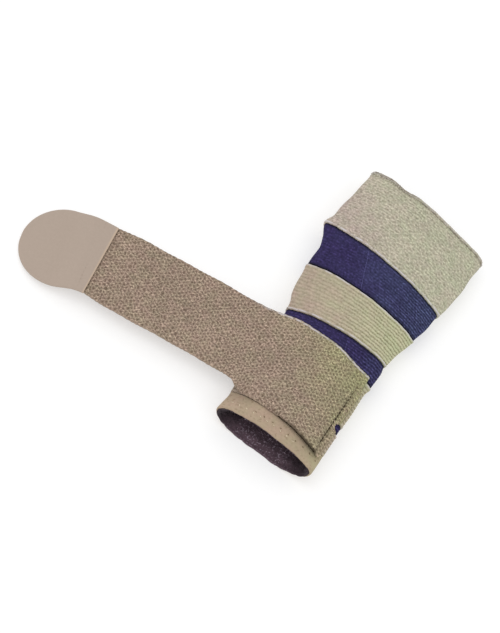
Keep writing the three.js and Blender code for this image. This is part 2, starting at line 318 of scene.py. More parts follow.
class BraceRib(PropertyGroup):
    """Beige bands with raised ribs"""

    __annotations__ = knit(2.4, 1.6, 0.35, 0.4, 0.0, 0.8, 0.9, 2.8, (189, 179, 155), (133, 122, 96))


class BraceNavy(PropertyGroup):
    """Navy bands in a fine knit"""

    __annotations__ = knit(1.9, 2.6, 0.1, 0.35, 0.2, 0.9, 0.9, 1.0, (63, 61, 97), (32, 29, 59))


class BraceCuff(PropertyGroup):
    """Beige palm cuff in a close knit"""

    __annotations__ = knit(2.2, 4.3, 0.12, 0.6, 0.85, 0.7, 1.7, 1.0, (188, 175, 163), (162, 149, 136))


class BraceHem(PropertyGroup):
    """Smooth hem round the wrist opening"""

    __annotations__ = knit(2.6, 2.9, 0.05, 1.0, 0.0, 0.95, 2.5, 2.6, (175, 165, 133), (154, 142, 112))


class BraceStrap(PropertyGroup):
    """Strap in a pebbled loop knit, and its tab"""

    __annotations__ = knit(1.95, 2.62, 0.12, 1.0, 0.95, 0.7, 1.8, 1.0, (167, 148, 131), (114, 96, 81))
    tab: colour("Tab", "Colour of the smooth tab", 173, 157, 144)


class BraceLining(PropertyGroup):
    """Dark terry inside the wrist"""

    loop: length("Pile height", "Height of a terry loop", 0.8)
    spacing: length("Pile spacing", "Mean distance between terry loops", 1.45)
    dark: colour("Cloth", "Colour of the terry", 88, 70, 79)
    speck: colour("Specks", "Colour of the palest loops", 168, 152, 166)


class BraceThread(PropertyGroup):
    """Sewing threads"""

    # dark is also the colour of painted shade on the beige cloth and the hem
    dark: colour("Dark thread", "Colour of the seam that holds the strap", 44, 34, 18)
    brown: colour("Brown thread", "Colour of the palm edge's stitches", 118, 100, 76)
    pale: colour("Pale thread", "Colour of edge threads", 206, 201, 205)
    cream: colour("Cream thread", "Colour of the hem's stitches", 212, 198, 172)


class BraceStage(PropertyGroup):
    """Floor and light"""

    floor: colour("Floor", "Colour of the floor", 200, 200, 200)
    glow: number("Glow", "Light that comes through the floor", 0.46)
    sky: number("Sky", "Strength of the even light", 0.86)
    key: number("Key", "Power in watts of the large soft light", 5.0)


SETTINGS = {
    "rib": BraceRib,
    "navy": BraceNavy,
    "cuff": BraceCuff,
    "hem": BraceHem,
    "strap": BraceStrap,
    "lining": BraceLining,
    "thread": BraceThread,
    "stage": BraceStage,
}


def settings(name):
    return getattr(bpy.context.scene, f"brace_{name}")


# Forms


def smoothstep(value, low, high):
    t = np.clip((value - low) / (high - low), 0, 1)
    return t * t * (3 - 2 * t)


def lerp(start, end, t):
    return start + (end - start) * t


def fade(value, low, high):
    """1 up to the low end, easing to 0 at the high end."""
    return 1 - smoothstep(value, low, high)


def within(value, span):
    """1 inside a span, easing to 0 outside it."""
    return smoothstep(value, span.start, span.full) * fade(value, span.fall, span.end)


def hump(value, half):
    """1 at zero, falling off on both sides."""
    return np.exp(-((value / half) ** 2))


def sample(table, column, at):
    """Smooth values of a table's column, without overshoot between its rows."""
    at = np.asarray(at, float)
    places = np.array([row.at for row in table], float)
    values = np.array([getattr(row, column) for row in table], float)
    span = np.diff(places)
    secant = np.diff(values) / span
    product = secant[:-1] * secant[1:]
    total = np.where(product > 0, secant[:-1] + secant[1:], 1)
    inner = np.where(product > 0, 2 * product / total, 0)
    tangent = np.concatenate((secant[:1], inner, secant[-1:]))
    row = np.clip(np.searchsorted(places, at, side="right") - 1, 0, len(span) - 1)
    t = np.clip((at - places[row]) / span[row], 0, 1)
    rise = t * (1 - t) ** 2 * tangent[row] - t * t * (1 - t) * tangent[row + 1]
    return lerp(values[row], values[row + 1], t * t * (3 - 2 * t)) + span[row] * rise


def wall_points(at, slant, angle, depth):
    """Points of the sleeve's wall, some depth in from the outer form, on rings that may slant."""
    at, slant, angle, depth = np.broadcast_arrays(at, slant, angle, depth)
    across = np.cos(angle)
    lift = np.sin(angle)

    def side(column, place):
        left, right = (sample(FORM, f"{hand}{column}", place) for hand in ("left", "right"))
        return np.where(across < 0, left, right)

    place = at + slant * across * side("", at)
    x = across * (side("", place) - FOLD_WALL * depth)
    fold = side("_fold", place)
    arch = fold + (sample(FORM, "crown", place) - depth - fold) * np.abs(lift) ** TOP_POWER
    floor = fold - (fold - depth) * np.minimum(FLOOR_FILL * np.abs(lift) ** FLOOR_POWER, 1)
    return np.stack((x, at + slant * x, np.where(lift < 0, floor, arch)), -1)


def wall_normals(at, slant, angle):
    """Outward directions of the sleeve's wall."""
    step, turn = 0.3, 0.01
    along = wall_points(at + step, slant, angle, 0) - wall_points(at - step, slant, angle, 0)
    around = wall_points(at, slant, angle + turn, 0) - wall_points(at, slant, angle - turn, 0)
    normal = np.cross(around, along)
    return normal / np.linalg.norm(normal, axis=-1, keepdims=True)


def slackness(at, angle):
    """Slight unevenness of the soft wall."""
    slow = np.sin(at / 6.1 + 1.3 * np.sin(2 * angle)) * np.sin(2 * angle + 0.7)
    quick = np.sin(at / 3.3 + 3 * angle)
    return (0.3 * slow + 0.12 * quick) * lerp(0.4, 1, smoothstep(at, 76, 95))


def edge_wave(angle, place):
    """How far a band's edge strays along the sleeve."""
    slow = 0.13 * np.sin(8 * angle + place) + 0.08 * np.sin(21 * angle + 2.3 * place)
    return slow + 0.05 * np.sin(47 * angle + place)


def palm_pull(angle):
    """How far the palm edge lies back: in two slight dips, less at its corners."""
    across = np.cos(angle)
    dips, corners = (
        sum(dip.depth * hump(across - dip.across, dip.half) for dip in table)
        for table in (PALM_DIPS, PALM_CORNERS)
    )
    fold = PALM_FOLD_PULL * smoothstep(np.abs(across), 0.965, 1)
    return PALM_PULL + fold + (dips - corners) * smoothstep(np.sin(angle), 0, 0.2)


def hem_bow(angle):
    """How far the wrist edge lies back."""
    return HEM_BOW * smoothstep(np.sin(angle), 0, 0.5)


def even_angles(at, step):
    """Angles that lie evenly along the sleeve's outline, and the outline's length."""
    fine = np.linspace(0, 2 * np.pi, 1441)
    outline = wall_points(at, 0, fine, 0)
    run = np.concatenate(([0], np.cumsum(np.linalg.norm(np.diff(outline, axis=0), axis=1))))
    count = round(run[-1] / step)
    return np.interp(np.arange(count) / count * run[-1], run, fine), run[-1]


def freedom(at, angle):
    """1 where the wall is free and 0 where it is pressed on the surface."""
    return smoothstep(wall_points(at, 0, angle, 0)[..., 2], 0, PRESSED_TO)


def rounding(distance, radius):
    """How far a rounded edge has dropped, as a share of its radius."""
    return 1 - np.sqrt(1 - (1 - np.clip(distance / radius, 0, 1)) ** 2)


def arch_height(at):
    """Height of the sleeve under the strap."""
    wrist = FORM[0]
    x = SEWN_END - np.asarray(at, float)
    reach = np.where(x < 0, wrist.left, wrist.right)
    fold = np.where(x < 0, wrist.left_fold, wrist.right_fold)
    return lerp(fold, wrist.crown, np.clip(1 - (x / reach) ** 2, 0, 1) ** (TOP_POWER / 2))


def strap_height(at):
    """Height of the strap's underside: over the sleeve, then bridging to the tab's tip."""
    lift = Height(STRAP_LEAVES, float(arch_height(STRAP_LEAVES)) + STRAP_SEAT)
    return np.where(
        at <= STRAP_LEAVES,
        arch_height(np.minimum(at, STRAP_LEAVES)) + STRAP_SEAT,
        sample((lift, *STRAP_BRIDGE), "height", np.maximum(at, STRAP_LEAVES)),
    )


def tab_height(at):
    """Height of the tab's underside: on the strap's end, then in line with it."""
    end = STRAP_LENGTH + GAP
    return strap_height(at) + (STRAP_WALL + GAP) * fade(at, end, end + TAB_DOWN)


def strap_points(at, reach, raised, height):
    """Points across the strap's line at some reach to the palm side, raised square to its slope."""
    at = np.asarray(at, float)
    place = np.stack((np.full_like(at, SEWN_END), np.full_like(at, STRAP_LINE), height(at)), -1)
    heading = np.zeros_like(at)
    start = 0
    for arc in STRAP_ARCS:
        run = np.clip(at - start, 0, arc.length)
        turn = math.radians(arc.degrees) * run / arc.length
        chord = run * np.sinc(turn / 2 / np.pi)
        place[..., 0] -= chord * np.cos(heading + turn / 2)
        place[..., 1] -= chord * np.sin(heading + turn / 2)
        heading = heading + turn
        start += arc.length
    level = np.zeros_like(at)
    forward = np.stack((-np.cos(heading), -np.sin(heading), level), -1)
    side = np.stack((-np.sin(heading), np.cos(heading), level), -1)
    grade = (height(at + GRADE_STEP) - height(at - GRADE_STEP)) / (2 * GRADE_STEP)
    up = np.array((0, 0, 1.0)) - forward * grade[..., None]
    up /= np.linalg.norm(up, axis=-1, keepdims=True)
    return place + side * np.asarray(reach)[..., None] + up * np.asarray(raised)[..., None], up


def to_frame(points):
    """Millimetres from the wrist edge to metres in the frame."""
    return points * MM + np.array((0, WRIST_EDGE, 0))


# Meshes


def grid_corners(rows, columns, ring):
    """Row and column numbers of the corners of quads over a grid that closes round its columns."""
    i = np.arange(rows if ring else rows - 1)[:, None, None] + np.array((0, 0, 1, 1))
    j = np.arange(columns)[None, :, None] + np.array((0, 1, 1, 0))
    i, j = np.broadcast_arrays(i, j)
    return i.reshape(-1, 4), j.reshape(-1, 4)


def signed_volume(points, faces):
    corners = points[faces]
    halves = (corners[:, (0, 1, 2)], corners[:, (0, 2, 3)])
    return sum(np.einsum("ij,ij->", half[:, 0], np.cross(half[:, 1], half[:, 2])) for half in halves)


def wrapped(values, column):
    """Values over a grid with its first row again, and a last column where the grid closes."""
    values = np.concatenate((values, np.broadcast_to(column, (len(values), 1))), axis=1)
    return np.concatenate((values, values[:1]))


def grid_piece(name, grid, ring, maps, values):
    """Closed piece over a grid of points, with maps given as two wrapped grids each."""
    rows, columns = grid.shape[:2]
    i, j = grid_corners(rows, columns, ring)
    if not ring:
        k = np.arange(columns // 2 - 1)
        cap = np.stack((k, k + 1, columns - 2 - k, columns - 1 - k), -1)
        i = np.concatenate((i, np.zeros_like(cap), np.full_like(cap, rows - 1)))
        j = np.concatenate((j, cap[:, ::-1], cap))
    points = to_frame(grid.reshape(-1, 3))
    if signed_volume(points, i % rows * columns + j % columns) < 0:
        i, j = i[:, ::-1], j[:, ::-1]
    mesh = bpy.data.meshes.new(name)
    faces = i % rows * columns + j % columns
    mesh.from_pydata(points.tolist(), [], faces.tolist(), shade_flat=False)
    for key, (across, along) in maps.items():
        corners = np.stack((across[i, j], along[i, j]), -1)
        layer = mesh.uv_layers.new(name=key)
        layer.uv.foreach_set("vector", np.ascontiguousarray(corners, np.float32).ravel())
    for key, value in values.items():
        level = np.broadcast_to(value, (rows, columns)).astype(np.float32)
        mesh.attributes.new(key, "FLOAT", "POINT").data.foreach_set("value", level.ravel())
    return add_piece(name, mesh)


def path_piece(name, points, ups):
    """Open path that stitches follow, with the direction out of the cloth at each point."""
    mesh = bpy.data.meshes.new(name)
    edges = [(k, k + 1) for k in range(len(points) - 1)]
    mesh.from_pydata(to_frame(points).tolist(), edges, [])
    attribute = mesh.attributes.new("up", "FLOAT_VECTOR", "POINT")
    attribute.data.foreach_set("vector", np.ascontiguousarray(ups, np.float32).ravel())
    return add_piece(name, mesh)


def add_piece(name, mesh):
    piece = bpy.data.objects.new(name, mesh)
    bpy.context.scene.collection.objects.link(piece)
    return piece


def seat(piece, slot, *nodes):
    """Fasten a finished piece to the frame."""
    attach(piece, BODY)
    if nodes:
        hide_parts(*nodes)
    return piece


# Node trees


def feed(tree, socket, value):
    """Link an input to another socket, or set its value."""
    if isinstance(value, bpy.types.NodeSocket):
        tree.links.new(value, socket)
    else:
        socket.default_value = value


def add_node(tree, kind, inputs=None, **options):
    """New node with options set, and its inputs set or linked by name or number."""
    node = tree.nodes.new(kind)
    for key, value in options.items():
        setattr(node, key, value)
    for key, value in (inputs or {}).items():
        feed(tree, node.inputs[key], value)
    return node


def calc(tree, operation, *values):
    """Output of a math node."""
    return add_node(tree, "ShaderNodeMath", dict(enumerate(values)), operation=operation).outputs[0]


def remap(tree, value, low, high, to_low=0.0, to_high=1.0):
    """Output of a smooth map range node."""
    ends = {"Value": value, "From Min": low, "From Max": high, "To Min": to_low, "To Max": to_high}
    return add_node(tree, "ShaderNodeMapRange", ends, interpolation_type="SMOOTHSTEP").outputs[0]


def blend(tree, factor, first, second, blend_type="MIX"):
    """Output of a colour mix node."""
    inputs = {0: factor, 6: first, 7: second}
    return add_node(tree, "ShaderNodeMix", inputs, data_type="RGBA", blend_type=blend_type).outputs[2]


def noise(tree, place, scale, detail=2.0, distortion=0.0):
    """Outputs of a noise texture."""
    inputs = {"Vector": place, "Scale": scale, "Detail": detail, "Distortion": distortion}
    return add_node(tree, "ShaderNodeTexNoise", inputs).outputs


def chance(tree, low, high, seed):
    """Output of a random value node."""
    node = add_node(tree, "FunctionNodeRandomValue", data_type="FLOAT")
    limits = {"Min": low, "Max": high, "Seed": seed}
    for socket in node.inputs:
        if socket.enabled and socket.name in limits:
            feed(tree, socket, limits[socket.name])
    return next(socket for socket in node.outputs if socket.enabled)


def turned(tree, rotation, angle):
    """A rotation turned about its own upright axis."""
    turn = add_node(tree, "FunctionNodeAxisAngleToRotation", {"Axis": (0, 0, 1), "Angle": angle})
    inputs = {"Rotation": rotation, "Rotate By": turn.outputs[0]}
    return add_node(tree, "FunctionNodeRotateRotation", inputs, rotation_space="LOCAL").outputs[0]


def new_tree(name, kind, inputs, outputs):
    """Node tree with named sockets, and its input and output nodes."""
    tree = bpy.data.node_groups.new(name, kind)
    for label, socket, default in inputs:
        made = tree.interface.new_socket(label, in_out="INPUT", socket_type=socket)
        if default is not None:
            made.default_value = default
    for label, socket in outputs:
        tree.interface.new_socket(label, in_out="OUTPUT", socket_type=socket)
    return tree, tree.nodes.new("NodeGroupInput").outputs, tree.nodes.new("NodeGroupOutput").inputs


def geometry_tree(name, inputs):
    both = ("Geometry", "NodeSocketGeometry")
    listed = [(*both, None), *inputs, ("Material", "NodeSocketMaterial", None)]
    return new_tree(name, "GeometryNodeTree", listed, [both])


def close_tree(tree, given, result, geometry):
    """End a geometry tree in realized instances with its material."""
    whole = add_node(tree, "GeometryNodeRealizeInstances", {"Geometry": geometry})
    links = {"Geometry": whole.outputs[0], "Material": given["Material"]}
    painted = add_node(tree, "GeometryNodeSetMaterial", links)
    tree.links.new(painted.outputs[0], result["Geometry"])
    return tree


def stored(tree, name, data_type="FLOAT"):
    """Output of a named attribute."""
    return add_node(tree, "GeometryNodeInputNamedAttribute", {"Name": name}, data_type=data_type).outputs[0]


def run_tree(piece, tree, **values):
    """Run a geometry tree on a piece and keep the result as its plain mesh."""
    modifier = piece.modifiers.new(tree.name, "NODES")
    modifier.node_group = tree
    for item in tree.interface.items_tree:
        key = item.name.lower().replace(" ", "_")
        if item.in_out == "INPUT" and key in values:
            modifier[item.identifier] = values[key]
    graph = bpy.context.evaluated_depsgraph_get()
    made = bpy.data.meshes.new_from_object(
        piece.evaluated_get(graph), preserve_all_data_layers=True, depsgraph=graph
    )
    piece.modifiers.remove(modifier)
    start = piece.data
    piece.data = made
    bpy.data.meshes.remove(start)
    made.name = piece.name
    if not made.polygons:
        raise RuntimeError(f"{piece.name}: {tree.name} made no faces")
    return piece


def knit_inputs():
    return [
        ("Stitches", "NodeSocketFloat", 0.5),
        ("Pebble", "NodeSocketFloat", 0.0),
        ("Jitter", "NodeSocketFloat", 0.5),
        ("Wobble", "NodeSocketFloat", 0.5),
        ("Sharpness", "NodeSocketFloat", 1.0),
    ]


def knit_pattern(tree, given, place, row, stitch):
    """Relief of a knit by counts of rows and stitches: 0 in its pits and 1 on its yarn."""
    drift = noise(tree, place, 300.0)["Color"]
    astray = add_node(tree, "ShaderNodeSeparateXYZ", {"Vector": drift}).outputs

    def strayed(value, channel):
        off = calc(tree, "SUBTRACT", astray[channel], 0.5)
        return calc(tree, "MULTIPLY_ADD", off, given["Wobble"], value)

    def wave(value, nearest, angle):
        turn = calc(tree, "MULTIPLY", calc(tree, "SUBTRACT", value, nearest), angle)
        return calc(tree, "COSINE", turn)

    def dip(value, nearest):
        return calc(tree, "POWER", wave(value, nearest, math.pi), given["Sharpness"])

    course = strayed(row, 0)
    number = calc(tree, "ROUND", course)
    shift = calc(tree, "MULTIPLY", calc(tree, "FLOORED_MODULO", number, 2.0), 0.5)
    wale = strayed(calc(tree, "ADD", stitch, shift), 1)
    nearest = calc(tree, "ROUND", wale)
    cell = add_node(tree, "ShaderNodeCombineXYZ", {"X": number, "Y": nearest})
    draw = add_node(tree, "ShaderNodeTexWhiteNoise", {"Vector": cell.outputs[0]}).outputs[0]
    fullness = calc(tree, "SUBTRACT", 1.0, calc(tree, "MULTIPLY", draw, given["Jitter"]))
    pit = calc(tree, "MULTIPLY", dip(wale, nearest), fullness)
    unbroken = calc(tree, "SUBTRACT", 1.0, given["Stitches"])
    across = calc(tree, "MULTIPLY_ADD", pit, given["Stitches"], unbroken)
    groove = dip(course, number)
    sunk = calc(tree, "MULTIPLY", groove, across)
    row_share = calc(tree, "SUBTRACT", 1.35, given["Stitches"])
    rows = calc(tree, "MULTIPLY", wave(course, number, 2 * math.pi), row_share)
    pebbles = calc(tree, "MULTIPLY_ADD", wave(wale, nearest, 2 * math.pi), groove, rows)
    swell = calc(tree, "MULTIPLY", pebbles, 0.35)
    uneven = calc(tree, "MULTIPLY_ADD", calc(tree, "SUBTRACT", astray[2], 0.5), given["Jitter"], 0.9)
    pebbled = calc(tree, "MULTIPLY_ADD", swell, uneven, 0.5)
    mixed = calc(tree, "MULTIPLY_ADD", calc(tree, "SUBTRACT", pebbled, sunk), given["Pebble"], sunk)
    return calc(tree, "SUBTRACT", 1.0, mixed)


def knit_relief_tree():
    """Sinks the grooves and pits of a knit into a cloth."""
    inputs = [("Depth", "NodeSocketFloat", 0.5 * MM), *knit_inputs()]
    tree, given, result = geometry_tree("Knit relief", inputs)
    place = add_node(tree, "GeometryNodeInputPosition").outputs[0]
    relief = knit_pattern(tree, given, place, stored(tree, "row"), stored(tree, "stitch"))
    sunk = calc(tree, "MULTIPLY", calc(tree, "SUBTRACT", relief, 1.0), stored(tree, "sink"))
    normal = add_node(tree, "GeometryNodeInputNormal").outputs[0]
    offset = {0: normal, "Scale": calc(tree, "MULTIPLY", sunk, given["Depth"])}
    push = add_node(tree, "ShaderNodeVectorMath", offset, operation="SCALE").outputs[0]
    moved = add_node(tree, "GeometryNodeSetPosition", {"Geometry": given["Geometry"], "Offset": push})
    return close_tree(tree, given, result, moved.outputs[0])


def thread_shape(tree, span, rise, thickness, sides=5):
    """Short arched thread: one stitch or loop."""
    half = calc(tree, "MULTIPLY", span, 0.5)
    back = calc(tree, "MULTIPLY", half, -1.0)
    root = calc(tree, "MULTIPLY", thickness, -0.5)
    ends = [add_node(tree, "ShaderNodeCombineXYZ", {"X": x, "Z": root}).outputs[0] for x in (back, half)]
    top = add_node(tree, "ShaderNodeCombineXYZ", {"Z": calc(tree, "MULTIPLY", rise, 2.0)}).outputs[0]
    line = add_node(
        tree, "GeometryNodeCurveQuadraticBezier",
        {"Resolution": sides, "Start": ends[0], "Middle": top, "End": ends[1]},
    )
    ring = add_node(
        tree, "GeometryNodeCurvePrimitiveCircle",
        {"Resolution": sides, "Radius": calc(tree, "MULTIPLY", thickness, 0.5)},
    )
    links = {"Curve": line.outputs[0], "Profile Curve": ring.outputs[0], "Fill Caps": True}
    return add_node(tree, "GeometryNodeCurveToMesh", links).outputs[0]


def stitch_row_tree():
    """Sews stitches along a path, square to the cloth."""
    tree, given, result = geometry_tree("Stitch row", [
        ("Pitch", "NodeSocketFloat", 2.5 * MM),
        ("Span", "NodeSocketFloat", 2.0 * MM),
        ("Rise", "NodeSocketFloat", 0.3 * MM),
        ("Thickness", "NodeSocketFloat", 0.5 * MM),
        ("Turn", "NodeSocketFloat", 0.0),
        ("Stray", "NodeSocketFloat", 0.1),
        ("Seed", "NodeSocketInt", 1),
    ])
    path = add_node(tree, "GeometryNodeMeshToCurve", {"Mesh": given["Geometry"]})
    spaced = add_node(
        tree, "GeometryNodeResampleCurve", {"Curve": path.outputs[0], "Length": given["Pitch"]}, mode="LENGTH"
    )
    tangent = add_node(tree, "GeometryNodeInputTangent").outputs[0]
    along = add_node(tree, "FunctionNodeAlignRotationToVector", {"Vector": tangent}, axis="X")
    upright = add_node(
        tree, "FunctionNodeAlignRotationToVector",
        {"Rotation": along.outputs[0], "Vector": stored(tree, "up", "FLOAT_VECTOR")},
        axis="Z", pivot_axis="X",
    )
    back = calc(tree, "MULTIPLY", given["Stray"], -1.0)
    stray = chance(tree, back, given["Stray"], given["Seed"])
    facing = turned(tree, upright.outputs[0], calc(tree, "ADD", given["Turn"], stray))
    sewn = add_node(tree, "GeometryNodeInstanceOnPoints", {
        "Points": spaced.outputs[0],
        "Instance": thread_shape(tree, given["Span"], given["Rise"], given["Thickness"]),
        "Rotation": facing,
    })
    return close_tree(tree, given, result, sewn.outputs[0])


def terry_pile_tree():
    """Scatters terry loops over a cloth's pile side, some of them pale."""
    tree, given, result = geometry_tree("Terry pile", [
        ("Spacing", "NodeSocketFloat", 1.7 * MM),
        ("Loop", "NodeSocketFloat", 0.9 * MM),
        ("Thickness", "NodeSocketFloat", 0.32 * MM),
        ("Seed", "NodeSocketInt", 1),
    ])
    density = calc(tree, "DIVIDE", 1.0, calc(tree, "MULTIPLY", given["Spacing"], given["Spacing"]))
    pile = calc(tree, "GREATER_THAN", stored(tree, "pile"), 0.5)
    spread = add_node(tree, "GeometryNodeDistributePointsOnFaces", {
        "Mesh": given["Geometry"], "Selection": pile, "Density": density, "Seed": given["Seed"],
    })
    loops = add_node(tree, "GeometryNodeInstanceOnPoints", {
        "Points": spread.outputs["Points"],
        "Instance": thread_shape(tree, given["Loop"], given["Loop"], given["Thickness"], 4),
        "Rotation": turned(tree, spread.outputs["Rotation"], chance(tree, 0.0, 2 * math.pi, 5)),
        "Scale": chance(tree, 0.6, 1.3, 9),
    })
    speck = {"Geometry": loops.outputs[0], "Name": "speck", "Value": chance(tree, 0.0, 1.0, 13)}
    kept = add_node(
        tree, "GeometryNodeStoreNamedAttribute", speck, data_type="FLOAT", domain="INSTANCE"
    )
    return close_tree(tree, given, result, kept.outputs[0])


# Shader groups


def shader_group(name, inputs, outputs):
    return new_tree(name, "ShaderNodeTree", inputs, outputs)


def knit_group():
    """Relief of a knit at any point of its stitch map."""
    inputs = [("Vector", "NodeSocketVector", None), ("Counts", "NodeSocketVector", None), *knit_inputs()]
    tree, given, result = shader_group("Knit", inputs, [("Relief", "NodeSocketFloat")])
    counts = add_node(tree, "ShaderNodeSeparateXYZ", {"Vector": given["Counts"]}).outputs
    tree.links.new(knit_pattern(tree, given, given["Vector"], counts[1], counts[0]), result["Relief"])
    return tree


def yarn_shade_group():
    """Colour of yarn by its relief, with painted shade in its grooves and pits, mottled by its fibres, and
    with painted highlights on raised yarn where it has flecks.
    """
    tree, given, result = shader_group("Yarn shade", [
        ("Vector", "NodeSocketVector", None),
        ("Relief", "NodeSocketFloat", 1.0),
        ("Crest", "NodeSocketColor", (1, 1, 1, 1)),
        ("Groove", "NodeSocketColor", (0, 0, 0, 1)),
        ("Mottle", "NodeSocketFloat", 0.2),
        ("Grain", "NodeSocketFloat", 750.0),
        ("Fleck", "NodeSocketFloat", 0.0),
    ], [("Color", "NodeSocketColor")])
    lit = remap(tree, given["Relief"], 0.0, 1.0)
    # the groove colour is painted shade between the yarns
    base = blend(tree, lit, given["Groove"], given["Crest"])
    fine = noise(tree, given["Vector"], given["Grain"])[0]
    broad = noise(tree, given["Vector"], 60.0)[0]
    mixed = calc(tree, "MULTIPLY_ADD", broad, 0.15, calc(tree, "MULTIPLY", fine, 0.85))
    swing = calc(tree, "MULTIPLY_ADD", calc(tree, "SUBTRACT", mixed, 0.5), given["Mottle"], 1.0)
    # painted highlights on the raised yarn, in flecks
    raised = remap(tree, given["Relief"], 0.5, 0.75)
    crown = calc(tree, "MULTIPLY", raised, remap(tree, fine, 0.48, 0.68))
    swing = calc(tree, "MULTIPLY_ADD", crown, given["Fleck"], swing)
    shaded = add_node(tree, "ShaderNodeVectorMath", {0: base, "Scale": swing}, operation="SCALE")
    tree.links.new(shaded.outputs[0], result["Color"])
    return tree


def painted_cast_group():
    """Painted light cast that changes slowly over the brace, from rosy at the strap's end to olive at the
    palm, with faint random patches of tone.
    """
    tree, given, result = shader_group("Dye drift", [
        ("Vector", "NodeSocketVector", None),
        ("Color", "NodeSocketColor", (1, 1, 1, 1)),
        ("Rosy", "NodeSocketColor", (1, 0.874, 1, 1)),
        ("Olive", "NodeSocketColor", (1, 1.135, 1, 1)),
        ("Start", "NodeSocketFloat", -0.05),
        ("End", "NodeSocketFloat", 0.035),
    ], [("Color", "NodeSocketColor")])
    axes = add_node(tree, "ShaderNodeSeparateXYZ", {"Vector": given["Vector"]})
    cloud = noise(tree, given["Vector"], 60.0, 1.0)[0]
    stray = calc(tree, "MULTIPLY", calc(tree, "SUBTRACT", cloud, 0.5), 0.03)
    across = calc(tree, "MULTIPLY_ADD", axes.outputs[0], 0.8, stray)
    place = calc(tree, "MULTIPLY_ADD", axes.outputs[1], 0.5, across)
    # painted light cast along the brace
    tint = blend(tree, remap(tree, place, given["Start"], given["End"]), given["Rosy"], given["Olive"])
    patched = remap(tree, noise(tree, given["Vector"], 150.0)[0], 0.25, 0.75)
    patch_tone = blend(tree, patched, (1.03, 0.985, 1.02, 1), (0.97, 1.015, 0.97, 1))
    drifted = blend(tree, 1.0, given["Color"], tint, "MULTIPLY")
    tree.links.new(blend(tree, 1.0, drifted, patch_tone, "MULTIPLY"), result["Color"])
    return tree


def yarn_fibre_group():
    """Fine fibres of yarn, as a height, and how dull they are."""
    tree, given, result = shader_group("Yarn fibre", [
        ("Vector", "NodeSocketVector", None),
        ("Scale", "NodeSocketFloat", 2500.0),
    ], [("Height", "NodeSocketFloat"), ("Roughness", "NodeSocketFloat")])
    hair = noise(tree, given["Vector"], given["Scale"], 3.0, 1.2)[0]
    tree.links.new(hair, result["Height"])
    tree.links.new(remap(tree, hair, 0.3, 0.7, 0.82, 0.98), result["Roughness"])
    return tree


def jersey_group():
    """Fine jersey stitches on the cloth map: height, and a mask of the gaps between them."""
    tree, given, result = shader_group("Jersey", [
        ("Cloth", "NodeSocketVector", None),
        ("Row", "NodeSocketFloat", 0.9 * MM),
        ("Stitch", "NodeSocketFloat", 0.8 * MM),
    ], [("Height", "NodeSocketFloat"), ("Gap", "NodeSocketFloat")])
    axes = add_node(tree, "ShaderNodeSeparateXYZ", {"Vector": given["Cloth"]})
    row = calc(tree, "DIVIDE", axes.outputs[1], given["Row"])
    lean = calc(tree, "MULTIPLY", calc(tree, "PINGPONG", row, 0.5), 0.9)
    stitch = calc(tree, "ADD", calc(tree, "DIVIDE", axes.outputs[0], given["Stitch"]), lean)

    def swing(phase):
        return calc(tree, "ABSOLUTE", calc(tree, "SINE", calc(tree, "MULTIPLY", phase, math.pi)))

    height = calc(tree, "MULTIPLY", swing(row), swing(stitch))
    tree.links.new(height, result["Height"])
    tree.links.new(remap(tree, height, 0.0, 0.35, 1.0, 0.0), result["Gap"])
    return tree


def shared(name):
    """A node tree that is made once."""
    makers = {
        "Knit relief": knit_relief_tree,
        "Stitch row": stitch_row_tree,
        "Terry pile": terry_pile_tree,
        "Knit": knit_group,
        "Yarn shade": yarn_shade_group,
        "Dye drift": painted_cast_group,
        "Yarn fibre": yarn_fibre_group,
        "Jersey": jersey_group,
    }
    return bpy.data.node_groups.get(name) or makers[name]()


# Materials


def use_group(tree, name, **inputs):
    """Outputs of a shared shader group."""
    return add_node(tree, "ShaderNodeGroup", inputs, node_tree=shared(name)).outputs


def solid(linear):
    return (*linear, 1.0)


def scaled(linear, factor):
    """A colour times a factor, or times one for each channel."""
    return tuple(np.multiply(linear, factor))


def attribute(tree, name):
    return add_node(tree, "ShaderNodeAttribute", attribute_name=name).outputs["Fac"]


